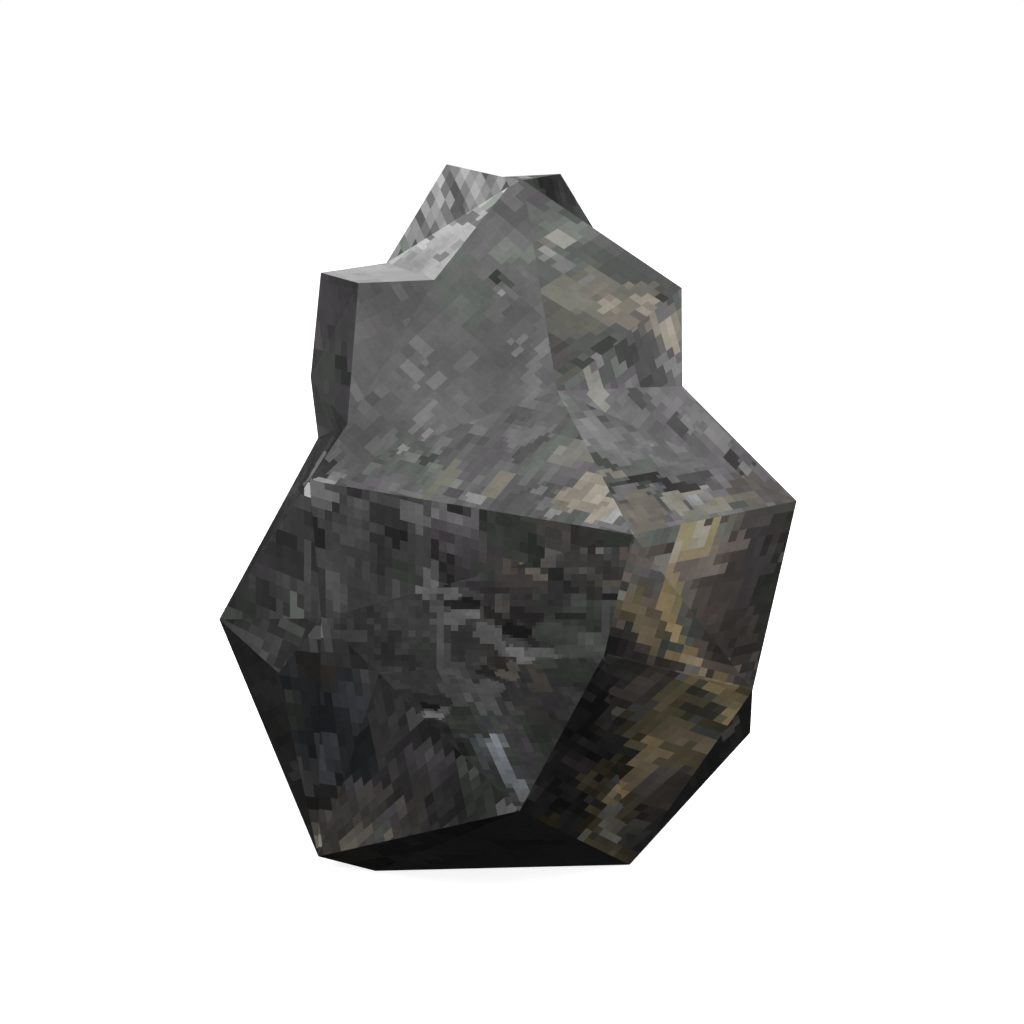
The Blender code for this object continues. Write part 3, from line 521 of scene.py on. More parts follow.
        (412, 704, 418, 708, 4, 0.55, "grey"), (484, 720, 489, 722, 4, 1, "blue"),
        (540, 662, 550, 664, 5, 1.3, "green"), (430, 736, 435, 732, 4, 0.36, "violet"),
        (444, 536, 450, 541, 4, 0.8, "plum"), (441, 822, 448, 821, 5, 0.42, "violet"),
        (347, 538, 349, 545, 4, 1.5, "grey"), (420, 806, 426, 813, 5, 1.15, "umber"),
        (321, 637, 327, 641, 4, 1.6, "grey"), (315, 630, 320, 636, 4, 3.5, "grey"),
        (378, 617, 383, 623, 4, 0.62, "grey"), (388, 704, 392, 711, 4, 0.62, "grey"),
        (391, 768, 397, 774, 5, 1.4, "violet"), (446, 620, 452, 624, 4, 2.5, "grey"),
        (489, 598, 494, 600, 4, 0.62, "plum"), (621, 551, 624, 558, 3.6, 1.7, "brown"),
        (334, 766, 338, 772, 4, 0.9, "blue"), (348, 623, 349, 626, 4, 1, "grey"),
        (366, 526, 370, 532, 4, 0.8, "grey"), (354, 761, 358, 767, 4, 0.33, "blue"),
        (455, 513, 459, 516, 3.5, 3, "violet"), (294, 770, 298, 776, 4, 1.7, "grey"),
        (460, 746, 466, 752, 4, 0.28, "green"), (402, 806, 406, 812, 4, 1.85, "umber"),
        (401, 691, 406, 696, 4, 0.66, "grey"), (453, 564, 458, 569, 4, 0.85, "violet"),
        (430, 578, 433, 586, 4, 2.8, "grey"), (506, 567, 510, 573, 4, 1.3, "brown"),
        (570, 561, 574, 566, 4, 0.8, "umber"), (359, 731, 363, 737, 4, 0.75, "blue"),
        (347, 789, 351, 793, 4, 1.25, "violet"), (491, 547, 495, 552, 4, 0.75, "grey"),
        (480, 739, 482, 742, 3.5, 2, "blue"),
    ],
    "side": [
        (648, 700, 700, 745, 30, 1.15, "olive"), (640, 540, 676, 532, 8, 2.5, "green"),
        (700, 575, 725, 560, 22, 1.5, "brown"), (715, 600, 705, 640, 18, 0.85, "brown"),
        (735, 560, 725, 610, 14, 0.95, "brown"), (762, 530, 750, 600, 12, 0.84, "plum"),
        (786, 520, 762, 640, 14, 0.4, "ivory"), (768, 524, 783, 522, 7, 0.66, "umber"),
        (740, 625, 728, 662, 14, 0.62, "brown"), (744, 655, 748, 682, 8, 0.85, "violet"),
        (712, 640, 700, 655, 8, 0.62, "brown"), (636, 556, 660, 590, 14, 1.9, "ivory"),
        (640, 592, 655, 600, 10, 1.5, "brown"), (606, 645, 640, 652, 12, 0.32, "umber"),
        (612, 625, 638, 634, 6, 0.55, "ivory"), (735, 522, 745, 519, 7, 1.7, "moss"),
        (748, 520, 765, 516, 6, 1.15, "umber"), (770, 512, 790, 506, 6, 1, "ivory"),
        (620, 556, 645, 560, 7, 2, "brown"), (648, 548, 664, 554, 5, 1.6, "brown"),
        (656, 566, 671, 560, 6, 3.2, "ivory"), (645, 574, 656, 578, 5, 2.2, "violet"),
        (724, 524, 720, 540, 5, 2.4, "green"), (715, 524, 711, 542, 5, 3.4, "olive"),
        (704, 527, 699, 542, 6, 4.9, "cream"), (689, 524, 684, 546, 5, 4.2, "olive"),
        (677, 549, 673, 569, 5, 5.4, "cream"), (688, 556, 711, 551, 8, 3.8, "tan"),
        (723, 548, 740, 544, 8, 2.1, "brown"), (685, 572, 716, 569, 8, 2.4, "brown"),
        (671, 574, 668, 588, 5, 3.6, "tan"), (668, 588, 663, 616, 7, 3.3, "gold"),
        (680, 590, 676, 612, 6, 2.7, "olive"), (690, 588, 685, 612, 5, 2, "brown"),
        (702, 590, 694, 620, 6, 1.2, "brown"), (663, 620, 679, 622, 4, 3.3, "gold"),
        (671, 630, 673, 632, 6, 4.6, "gold"), (682, 634, 686, 641, 5, 3.2, "olive"),
        (691, 640, 694, 646, 5, 1.8, "green"), (683, 622, 688, 628, 4, 1.8, "green"),
        (694, 620, 697, 632, 5, 0.9, "green"), (657, 628, 652, 656, 5, 1.5, "olive"),
        (669, 642, 664, 660, 5, 0.8, "green"), (679, 646, 676, 652, 5, 1.4, "green"),
        (688, 648, 692, 655, 5, 2.8, "gold"), (699, 646, 704, 656, 5, 1.4, "brown"),
        (674, 657, 682, 662, 5, 2.6, "gold"), (686, 660, 700, 668, 6, 3.8, "tan"),
        (708, 665, 735, 673, 6, 1.5, "brown"), (618, 602, 626, 604, 5, 1.8, "olive"),
        (628, 604, 648, 610, 6, 2.4, "tan"), (638, 618, 650, 624, 6, 2, "tan"),
        (643, 631, 651, 640, 6, 2.2, "tan"), (620, 617, 631, 618, 4, 1.1, "olive"),
        (632, 590, 641, 596, 5, 1.8, "olive"), (620, 590, 622, 598, 3, 3.8, "ivory"),
        (640, 646, 648, 654, 4, 0.9, "brown"), (776, 552, 784, 555, 4, 1.2, "ivory"),
        (606, 664, 566, 790, 27, 0.36, "plum"), (530, 808, 542, 810, 9, 0.3, "violet"),
        (600, 735, 628, 746, 9, 0.42, "green"), (612, 668, 645, 668, 8, 0.48, "ivory"),
        (655, 668, 678, 672, 9, 0.66, "brown"), (632, 692, 662, 684, 9, 0.95, "brown"),
        (613, 697, 640, 702, 5, 0.9, "brown"), (682, 676, 690, 672, 5, 2.2, "ivory"),
        (692, 680, 741, 693, 7, 2.3, "gold"), (708, 681, 734, 689, 5, 2.4, "tan"),
        (686, 690, 700, 688, 5, 0.6, "moss"), (722, 696, 746, 706, 8, 2.8, "gold"),
        (738, 712, 728, 722, 6, 3.2, "gold"), (742, 696, 750, 700, 4, 1.6, "olive"),
        (682, 704, 714, 712, 5.5, 0.6, "moss"), (674, 694, 702, 699, 3.5, 1.35, "olive"),
        (704, 688, 712, 692, 5, 1.3, "moss"), (716, 700, 732, 707, 5, 1.9, "olive"),
        (700, 718, 712, 722, 5, 0.75, "olive"), (676, 686, 652, 712, 7, 1.5, "olive"),
        (669, 706, 660, 714, 5, 2.4, "tan"), (640, 724, 668, 714, 6, 1.6, "olive"),
        (630, 731, 652, 727, 5, 1.5, "olive"), (617, 712, 628, 706, 4, 1.7, "ivory"),
        (634, 713, 648, 706, 5, 1.2, "ivory"), (658, 730, 692, 723, 6, 2, "olive"),
        (694, 722, 704, 732, 5, 1.25, "green"), (714, 726, 730, 730, 6, 0.7, "olive"),
        (702, 738, 716, 740, 6, 1.1, "green"), (634, 743, 650, 747, 5, 1.6, "olive"),
        (650, 745, 660, 749, 5, 2.9, "gold"), (668, 735, 694, 737, 6, 1.9, "tan"),
        (690, 746, 713, 749, 7, 2.2, "tan"), (664, 753, 692, 750, 5, 1.4, "olive"),
        (640, 763, 668, 755, 6, 2.8, "tan"), (618, 792, 645, 770, 8, 2.5, "tan"),
        (608, 800, 617, 805, 5, 3, "tan"), (664, 767, 702, 768, 8, 1.3, "olive"),
        (648, 788, 668, 775, 9, 1.4, "brown"), (684, 778, 650, 806, 9, 0.72, "brown"),
        (638, 814, 652, 808, 5, 0.3, "brown"), (618, 772, 632, 761, 5, 0.28, "olive"),
        (596, 770, 612, 764, 5, 0.7, "olive"), (584, 780, 600, 788, 7, 0.75, "olive"),
        (606, 812, 618, 811, 5, 2.6, "ivory"), (600, 820, 616, 828, 6, 2.3, "cream"),
        (603, 835, 613, 839, 5, 3.2, "ivory"), (592, 813, 596, 830, 5, 1.2, "olive"),
        (587, 820, 580, 834, 4, 0.45, "gold"), (600, 807, 607, 801, 4, 0.42, "gold"),
        (582, 838, 588, 835, 3, 2.5, "cream"), (590, 843, 612, 851, 6, 1.2, "olive"),
        (620, 851, 632, 861, 6, 0.9, "olive"), (622, 818, 632, 813, 4, 1.1, "olive"),
        (628, 832, 648, 822, 5, 1.1, "ivory"), (624, 841, 642, 838, 6, 0.75, "ivory"),
        (668, 812, 642, 850, 5, 0.42, "violet"), (545, 818, 572, 836, 3, 0.36, "gold"),
        (589, 801, 597, 794, 3, 0.75, "violet"), (583, 730, 592, 735, 4, 0.12, "umber"),
        (584, 748, 592, 755, 5, 0.08, "green"), (556, 806, 568, 798, 5, 0.15, "umber"),
        (550, 770, 557, 760, 6, 0.2, "grey"), (570, 749, 578, 755, 6, 0.22, "green"),
        (570, 831, 575, 833, 4, 0.32, "umber"), (599, 678, 606, 672, 7, 0.62, "violet"),
        (567, 791, 574, 796, 6, 0.55, "violet"), (575, 726, 582, 718, 7, 0.5, "violet"),
        (606, 662, 616, 658, 5, 0.95, "violet"), (616, 705, 624, 704, 4, 0.5, "umber"),
        (634, 766, 640, 762, 4, 2.8, "tan"), (734, 654, 742, 660, 6, 0.6, "brown"),
        (766, 560, 771, 572, 5, 0.75, "violet"), (648, 818, 656, 812, 5, 0.5, "umber"),
        (604, 722, 610, 714, 5, 0.75, "umber"), (569, 824, 574, 828, 3, 0.35, "umber"),
        (526, 808, 534, 806, 5, 0.2, "violet"), (540, 778, 546, 772, 5, 0.25, "grey"),
        (580, 752, 584, 748, 4, 0.1, "green"), (650, 616, 656, 610, 4, 1.5, "tan"),
        (625, 822, 631, 818, 4, 0.65, "olive"), (706, 680, 715, 682, 4, 2.8, "tan"),
        (620, 552, 626, 556, 4, 1.9, "brown"), (745, 682, 749, 687, 4, 0.8, "brown"),
        (747, 666, 752, 671, 5, 0.5, "umber"), (743, 688, 749, 692, 4, 0.9, "olive"),
        (706, 682, 713, 684, 4, 3.2, "gold"), (559, 819, 565, 823, 5, 0.5, "gold"),
        (608, 797, 612, 801, 4, 2.9, "tan"), (589, 789, 594, 793, 4, 0.45, "olive"),
        (621, 789, 626, 793, 4, 3.5, "gold"), (734, 648, 740, 654, 5, 0.41, "umber"),
        (546, 767, 550, 771, 4, 0.23, "grey"), (660, 661, 664, 664, 4, 0.42, "brown"),
        (608, 769, 613, 773, 4, 0.41, "olive"), (563, 823, 568, 828, 4, 0.3, "violet"),
        (603, 828, 608, 832, 4, 3.4, "moss"), (717, 675, 723, 679, 4, 2.3, "gold"),
        (675, 701, 680, 705, 4, 1.1, "olive"), (772, 534, 776, 540, 4, 0.62, "brown"),
        (626, 581, 630, 587, 4, 2.8, "brown"), (730, 694, 735, 698, 4, 1.75, "gold"),
        (613, 616, 618, 621, 4, 1.7, "brown"), (706, 653, 710, 658, 4, 0.95, "brown"),
        (586, 696, 590, 702, 4, 0.54, "violet"),
    ],
    "sideEdge": [
        (725, 738, 735, 722, 3, 5.5, "moss"), (742, 705, 748, 735, 4, 0.85, "umber"),
    ],
    "flankUnder": [
        (262, 690, 270, 700, 8, 1.15, "grey"), (293, 769, 298, 777, 4, 1.8, "grey"),
    ],
    "underLeft": [
        (340, 855, 372, 852, 5, 1.5, "moss"),
    ],
    "underRight": [
        (500, 845, 560, 842, 3, 0.6, "black"), (430, 862, 470, 858, 3, 0.7, "black"),
    ],
}

# The stone and its finish.  The hidden breaks are those that the front view does not
# show: their blocks, tones and markings are drawn by chance.
marble = {
    "grey": 0.105,                      # linear, what tone 1 means
    "hues": 0.35,                       # drift to green or violet, at most
    "seed": 11,
    "hiddenBlock": (0.0105, 0.0072),    # metres along and across
    "hiddenTone": 1.25,
    "hiddenToneRange": 0.22,            # how unlike the hidden breaks are
    "hiddenSpread": 0.4,
    "hiddenTints": ("grey", "violet", "green", "umber"),
    "veins": 0.037,                     # how wide the gold veins of the hidden breaks run
    "streaks": 0.028,                   # how wide their pale streaks run
    "grainSize": 0.0026,                # metres across one crystal
    "grain": 0.07,                      # how much the crystals lighten or darken a block
    "cloudSize": 0.012,                 # metres
    "cloud": 0.06,
    "roughness": (0.5, 0.72),
    "gloss": 0.15,
    "bump": 0.12,
    "bumpDepth": 0.0006,                # metres
}

# How near is near enough while the stone is cut.
cutting = {
    "flat": math.radians(1.2),  # triangles that meet at less belong to one break
    "onCut": 1e-3,              # of half a block: a corner this near a cut lies on it
    "sameCorner": 2e-5,         # metres
    "weld": 1e-5,               # metres
    "level": 2e-3,              # radians: pieces of one block that meet at less are joined
}


def joinPoint(points, rims, known, a, b, heights, line, mark):
    # the point where the side between corners a and b crosses a block edge
    low, high = min(a, b), max(a, b)
    key = (low, high, mark)
    if key not in known:
        share = (line - heights[low]) / (heights[high] - heights[low])
        known[key] = len(points)
        points.append(points[low].lerp(points[high], share))
        rims.append(rims[low] & rims[high])
    return known[key]


def slicePolygon(points, rims, known, polygon, origin, measure, mark):
    # cuts a flat polygon into strips, one step wide
    heights = {corner: measure.dot(points[corner] - origin) for corner in polygon}
    strips = []
    near = cutting["onCut"]
    for line in range(math.ceil(min(heights.values())), math.floor(max(heights.values())) + 1):
        below, above = [], []
        for a, b in zip(polygon, polygon[1:] + polygon[:1]):
            if heights[a] <= line + near:
                below.append(a)
            if heights[a] >= line - near:
                above.append(a)
            low, high = sorted((heights[a], heights[b]))
            if low < line - near and high > line + near:
                middle = joinPoint(points, rims, known, a, b, heights, line, (mark, line))
                heights[middle] = line
                below.append(middle)
                above.append(middle)
        if len(below) > 2:
            strips.append(below)
        polygon = above
        if len(polygon) < 3:
            return strips
    return strips + [polygon]


def cutBlocks(points, rims, known, polygon, lie, mark):
    # cuts one triangle of a break along the edges of its blocks
    pieces = []
    origin = lie["origin"]
    for strip in slicePolygon(points, rims, known, polygon, origin, lie["columnBy"],
                              (mark, "column")):
        pieces += slicePolygon(points, rims, known, strip, origin, lie["rowBy"], (mark, "row"))
    return pieces


def sortRims(points, rims):
    # the corners along each edge of the stone in order, those that coincide made one
    along = {}
    for corner, rim in enumerate(rims):
        for edge in rim:
            along.setdefault(edge, []).append(corner)
    same = {}
    for edge, corners in along.items():
        start, end = points[edge[0]], points[edge[1]]
        way = (end - start).normalized()
        corners.sort(key=lambda corner: way.dot(points[corner] - start))
        kept = [corners[0]]
        for corner in corners[1:]:
            if way.dot(points[corner] - points[kept[-1]]) < cutting["sameCorner"]:
                keep, drop = sorted((kept[-1], corner))   # the solid's own corners come first
                same[drop] = keep
                kept[-1] = keep
            else:
                kept.append(corner)
        along[edge] = kept
    return along, same


def closeRims(points, rims, pieces):
    # gives both sides of every edge of the stone the same corners, so that it stays closed
    along, same = sortRims(points, rims)
    closed = []
    for polygon in pieces:
        polygon = [same.get(corner, corner) for corner in polygon]
        whole = []
        for a, b in zip(polygon, polygon[1:] + polygon[:1]):
            if a == b:
                continue
            whole.append(a)
            for edge in rims[a] & rims[b]:
                line = along[edge]
                first, last = line.index(a), line.index(b)
                whole += line[first + 1:last] if first < last else line[last + 1:first][::-1]
        closed.append(whole)
    return closed


def layBlocks(name, look, point, normal):
    # lays the blocks of a break from the front view onto its plane
    x, y = look["at"][0]

    def onPlane(edge):
        line = sight(x + edge[0], y + edge[1])
        return eye + line * ((point - eye).dot(normal) / line.dot(normal)) - point

    return dict(name=name, origin=point, along=onPlane(look["along"]),
                across=onPlane(look["across"]), normal=normal, look=look, faces=[])


def findBreaks(solid):
    # the triangles of the solid on which the named breaks lie
    tree = BVHTree.FromBMesh(solid)
    lies = []
    for name, look in breaks.items():
        for place in look["at"]:
            point, normal, index = tree.ray_cast(eye, sight(*place))[:3]
            if place == look["at"][0]:
                lies.append(layBlocks(name, look, point, normal))
            lies[-1]["faces"].append(solid.faces[index])
    return lies


def hiddenBreak(face):
    # a break that the front view does not show, its blocks laid by chance
    draw = noise.random_unit_vector(size=3)
    level = (draw - draw.dot(face.normal) * face.normal).normalized()
    chance, other = noise.random(), noise.random()
    long, wide = marble["hiddenBlock"]
    lean = face.normal.cross(level) + level * (other - 0.5)
    tone = marble["hiddenTone"] * math.exp(marble["hiddenToneRange"] * (2 * chance - 1))
    pick = int(other * (len(marble["hiddenTints"]) - 0.01))   # never past the last
    look = dict(tone=tone, spread=marble["hiddenSpread"], tint=marble["hiddenTints"][pick])
    return dict(name="hidden", origin=face.calc_center_median(), along=level * long,
                across=lean * wide, normal=face.normal.copy(), look=look, faces=[face])


def flattest(solid, owner):
    # the two triangles that lie flattest together, one with a break and one without
    best, least = None, cutting["flat"]
    for edge in solid.edges:
        a, b = edge.link_faces
        if (a.index in owner) != (b.index in owner) and a.normal.angle(b.normal) < least:
            best, least = (a, b), a.normal.angle(b.normal)
    return best


def growBreaks(solid, lies):
    # a triangle that lies flat with one of a break belongs to the same break
    owner = {face.index: lie for lie in lies for face in lie["faces"]}
    best = flattest(solid, owner)
    while best:
        a, b = best
        if a.index in owner:
            a, b = b, a
        owner[a.index] = owner[b.index]
        owner[b.index]["faces"].append(a)
        best = flattest(solid, owner)
    for face in solid.faces:
        if face.index in owner:
            continue
        lie = hiddenBreak(face)
        lies.append(lie)
        owner[face.index] = lie
        waiting = [face]
        while waiting:
            for edge in waiting.pop().edges:
                for beside in edge.link_faces:
                    meets = beside.normal.angle(face.normal)
                    if beside.index not in owner and meets < cutting["flat"]:
                        owner[beside.index] = lie
                        lie["faces"].append(beside)
                        waiting.append(beside)
    return lies


def blockOf(lie, middle):
    # the middle of the block that a piece lies in, in quarters of a whole block
    i = math.floor(lie["columnBy"].dot(middle - lie["origin"]))
    j = math.floor(lie["rowBy"].dot(middle - lie["origin"]))
    wholeI, wholeJ = i // 2 * 4 + 2, j // 2 * 4 + 2
    x, y = seenAt(lie["origin"] + lie["along"] * wholeI / 4 + lie["across"] * wholeJ / 4)
    for fineX, fineY, reach in fineSpots.get(lie["name"], ()):
        if math.hypot(x - fineX, y - fineY) < reach:
            return i * 2 + 1, j * 2 + 1
    return wholeI, wholeJ


# Noise that runs on over the whole stone: waves to a metre, and a shift.
drifts = {
    "cloud": (18, (0, 0, 0)),
    "hue": (26, (5, 1, 8)),
    "warmth": (4, (2, 7, 5)),
    "vein": (7, (0, 0, 0)),
    "veinEdge": (23, (0, 0, 0)),
    "streak": (5, (9, 0, 3)),
    "streakEdge": (19, (0, 0, 0)),
    "patch": (10, (4, 4, 8)),
}

# How the blocks of every break are mottled.
mottling = {
    "layers": (
        # waves to a block along and across, shift, weight
        (7.31, 5.77, 0, 0.5),    # single blocks
        (0.83, 0.61, 3, 1.2),    # a few together
        (0.29, 0.23, 7, 1.6),    # clumps
    ),
    "cloud": 1.2,                # weight
    "nameStep": 0.37,            # keeps the breaks' mottlings apart
    "hueGain": 4,
    "hueStart": 0.5,
}

# How a stroke ends, in halves of its width.
strokeEdge = {
    "end": 1.3,
    "fade": 0.2,
    "ragged": 0.25,
    "keep": 0.1,         # share of its blocks' own mottling that a hair-thin stroke keeps
    "keepAll": 16,       # pixels of half width that would add the whole of it
}

# Marks of the hidden breaks: where their noise sets in and where it is full, how many
# times paler they are, their two tints, and how much of the own mottling they keep.
chanceLooks = {
    "darkPatch": (0.26, 0.3, 0.45, ("black", "black"), 0.9),
    "palePatch": (0.3, 0.34, 1.5, ("cream", "grey"), 0.9),
    "veinBank": (0, 0.02, 1.35, ("olive", "brown"), 0.8),
    "vein": (0, 0.015, 2.7, ("gold", "tan"), 0.5),
    "streak": (0, 0.01, 2.3, ("cream", "blue"), 0.4),
    "paleFleck": (0.46, 0.48, 1.6, ("grey", "grey"), 0.2),
    "darkFleck": (0.46, 0.48, 0.55, ("black", "black"), 0.2),
}
veinRule = {
    "from": 0.05,        # the warmth from which there are veins
    "olive": 0.2,        # the warmth from which their banks are olive
    "bank": 2.3,         # how many times wider than a vein its bank is
    "veinEdge": 0.3,     # how ragged the veins are
    "streakEdge": 0.2,   # how ragged the streaks are
}


def drift(place, name):
    waves, shift = drifts[name]
    return noise.noise(place * waves + Vector(shift))


def ramp(value, low, high):
    return max(0.0, min(1.0, (value - low) / (high - low)))


def strokeWeight(stroke, x, y, ragged):
    # 1 inside the stroke, 0 outside it, with a short ragged edge
    x0, y0, x1, y1, half = stroke[:5]
    dx, dy = x1 - x0, y1 - y0
    run = ramp((x - x0) * dx + (y - y0) * dy, 0, max(dx * dx + dy * dy, 1e-6))
    away = math.hypot(x - x0 - run * dx, y - y0 - run * dy) / half
    weight = ramp(strokeEdge["end"] + ragged - away, 0, strokeEdge["fade"])
    return weight * weight * (3 - 2 * weight)


def handMarks(marks, x, y, single):
    # marks of a named break at a pixel: weight, times paler, tint, own mottling kept
    for stroke in marks:
        half, gain, tint = stroke[4:]
        weight = strokeWeight(stroke, x, y, strokeEdge["ragged"] * single)
        yield weight, gain, tint, min(1.0, strokeEdge["keep"] + half / strokeEdge["keepAll"])


def chanceMarks(place, single):
    # the same of a hidden break at a place
    def mark(name, value, firstTint=True):
        low, high, gain, pair, keep = chanceLooks[name]
        return ramp(value, low, high), gain, pair[0 if firstTint else 1], keep

    warmth = drift(place, "warmth")
    vein = abs(drift(place, "vein") + veinRule["veinEdge"] * drift(place, "veinEdge"))
    streak = abs(drift(place, "streak") + veinRule["streakEdge"] * drift(place, "streakEdge"))
    patch = drift(place, "patch")
    yield mark("darkPatch", patch)
    yield mark("palePatch", -patch, warmth > 0)
    if warmth > veinRule["from"]:
        bank = veinRule["bank"] * marble["veins"]
        yield mark("veinBank", bank - vein, warmth > veinRule["olive"])
        yield mark("vein", marble["veins"] - vein, single > 0)
    yield mark("streak", marble["streaks"] - streak, warmth >= 0)
    yield mark("paleFleck", single)
    yield mark("darkFleck", -single)


def blockColour(lie, i, j, place):
    # the tone of the break, mottled from block to block, and then its marks
    look = lie["look"]
    seed = sum(ord(letter) for letter in lie["name"]) * mottling["nameStep"]
    waves = [noise.noise(Vector((i * stepI, j * stepJ, seed + shift)))
             for stepI, stepJ, shift, weight in mottling["layers"]]
    mottle = 0.0
    for wave, layer in zip(waves, mottling["layers"]):
        mottle += layer[3] * wave
    own = level = look["spread"] * (mottle + mottling["cloud"] * drift(place, "cloud"))

    hue = drift(place, "hue")
    share = abs(hue) * mottling["hueGain"] - mottling["hueStart"]
    share = max(0.0, min(look.get("hues", marble["hues"]), share))
    tint = Vector(tints[look["tint"]])
    tint = tint.lerp(Vector(tints["green" if hue > 0 else "violet"]), share)

    single = waves[0]
    if lie["name"] == "hidden":
        marks = chanceMarks(place, single)
    else:
        zone = look.get("zone", lie["name"])
        marks = handMarks(markings.get(zone, ()), *seenAt(place), single)
    for weight, gain, markTint, keep in marks:
        if weight:
            level += (math.log(gain) + keep * own - level) * weight
            tint = tint.lerp(Vector(tints[markTint]), weight)
    return marble["grey"] * look["tone"] * math.exp(level) * tint


def cutStone(solid, lies):
    # cuts the solid's triangles at half the size of their blocks
    points = [corner.co.copy() for corner in solid.verts]
    rims = [frozenset(tuple(sorted(end.index for end in edge.verts)) for edge in corner.link_edges)
            for corner in solid.verts]
    known, pieces, owners = {}, [], []
    for index, lie in enumerate(lies):
        columnPlane = lie["across"].cross(lie["normal"])
        rowPlane = lie["along"].cross(lie["normal"])
        lie["columnBy"] = columnPlane / columnPlane.dot(lie["along"]) * 2
        lie["rowBy"] = rowPlane / rowPlane.dot(lie["across"]) * 2
        for face in lie["faces"]:
            triangle = [corner.index for corner in face.verts]
            found = cutBlocks(points, rims, known, triangle, lie, index)
            pieces += found
            owners += [index] * len(found)
    middles = [sum((points[corner] for corner in piece), Vector()) / len(piece)
               for piece in pieces]
    return points, closeRims(points, rims, pieces), owners, middles


def joinBlocks(stone, layers):
    # the halves of a block become one face; the edges of the breaks themselves stay
    inner = []
    for edge in stone.edges:
        if len(edge.link_faces) == 2:
            a, b = edge.link_faces
            if all(a[layer] == b[layer] for layer in layers):
                if edge.calc_face_angle() < cutting["level"]:
                    inner.append(edge)
    bmesh.ops.dissolve_edges(stone, edges=inner, use_verts=False)
    openEdges = sum(len(edge.link_faces) != 2 for edge in stone.edges)
    print(len(stone.faces), "blocks", openEdges, "open edges")


def makeStone():
    noise.seed_set(marble["seed"])
    solid = bmesh.new()
    solid.from_mesh(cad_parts["marble_rock"].data)
    bmesh.ops.remove_doubles(solid, verts=solid.verts[:], dist=cutting["weld"])
    solid.normal_update()
    solid.verts.index_update()
    solid.faces.ensure_lookup_table()
    lies = growBreaks(solid, findBreaks(solid))
    print(len(lies), "breaks")
    points, pieces, owners, middles = cutStone(solid, lies)
    solid.free()

    stone = bmesh.new()
    layerNames = ("owner", "column", "row")
    owner, column, row = (stone.faces.layers.int.new(name) for name in layerNames)
    used = sorted({corner for piece in pieces for corner in piece})
    corners = {corner: stone.verts.new(points[corner]) for corner in used}
    for piece, index, middle in zip(pieces, owners, middles):
        if len(piece) > 2:
            face = stone.faces.new([corners[corner] for corner in piece])
            face[owner] = index
            face[column], face[row] = blockOf(lies[index], middle)
    stone.normal_update()
    joinBlocks(stone, (owner, column, row))

    paint = stone.loops.layers.float_color.new("marbleColour")
    for face in stone.faces:
        lie = lies[face[owner]]
        i, j = face[column] / 4, face[row] / 4
        colour = blockColour(lie, i, j, lie["origin"] + lie["along"] * i + lie["across"] * j)
        for loop in face.loops:
            loop[paint] = (*colour, 1.0)
    mesh = bpy.data.meshes.new("blackMarble")
    stone.to_mesh(mesh)
    stone.free()
    for name in layerNames:
        mesh.attributes.remove(mesh.attributes[name])
    piece = bpy.data.objects.new("blackMarble", mesh)
    bpy.context.scene.collection.objects.link(piece)
    return piece


# How the noise of the finish is read.
finishNoise = {
    "grainDetail": 3.0,
    "cloudDetail": 2.0,
    "harshness": 0.6,
    "span": (0.3, 0.7),   # the part of its range in which the noise mostly lies
}


def marbleMaterial(finish):
    material = bpy.data.materials.new("blackMarble")
    material.use_nodes = True
    nodes = material.node_tree.nodes
    links = material.node_tree.links
    shader = nodes["Principled BSDF"]
    shader.inputs["Specular IOR Level"].default_value = finish["gloss"]
    where = nodes.new("ShaderNodeTexCoord")

    def speckle(size, detail):
        node = nodes.new("ShaderNodeTexNoise")
        node.inputs["Scale"].default_value = 1 / size
        node.inputs["Detail"].default_value = detail
        node.inputs["Roughness"].default_value = finishNoise["harshness"]
        links.new(where.outputs["Object"], node.inputs["Vector"])
        return node.outputs["Fac"]

    def between(source, low, high):
        node = nodes.new("ShaderNodeMapRange")
        node.inputs["From Min"].default_value = finishNoise["span"][0]
        node.inputs["From Max"].default_value = finishNoise["span"][1]
        node.inputs["To Min"].default_value = low
        node.inputs["To Max"].default_value = high
        links.new(source, node.inputs["Value"])
        return node.outputs["Result"]

    def times(colour, share):
        node = nodes.new("ShaderNodeVectorMath")
        node.operation = "SCALE"
        links.new(colour, node.inputs[0])
        links.new(share, node.inputs["Scale"])
        return node.outputs["Vector"]

    blocks = nodes.new("ShaderNodeAttribute")
    blocks.attribute_name = "marbleColour"
    grain = speckle(finish["grainSize"], finishNoise["grainDetail"])
    cloud = speckle(finish["cloudSize"], finishNoise["cloudDetail"])
    grainShade = between(grain, 1 - finish["grain"], 1 + finish["grain"])
    shaded = times(blocks.outputs["Color"], grainShade)
    shaded = times(shaded, between(cloud, 1 - finish["cloud"], 1 + finish["cloud"]))
    links.new(shaded, shader.inputs["Base Color"])
    links.new(between(grain, *finish["roughness"]), shader.inputs["Roughness"])
    bump = nodes.new("ShaderNodeBump")
    bump.inputs["Strength"].default_value = finish["bump"]
    bump.inputs["Distance"].default_value = finish["bumpDepth"]
    links.new(grain, bump.inputs["Height"])
    links.new(bump.outputs["Normal"], shader.inputs["Normal"])
    return material


stone = makeStone()
stone.data.materials.append(marbleMaterial(marble))
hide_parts("marble_rock")
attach(stone, "root")
print("stone made")

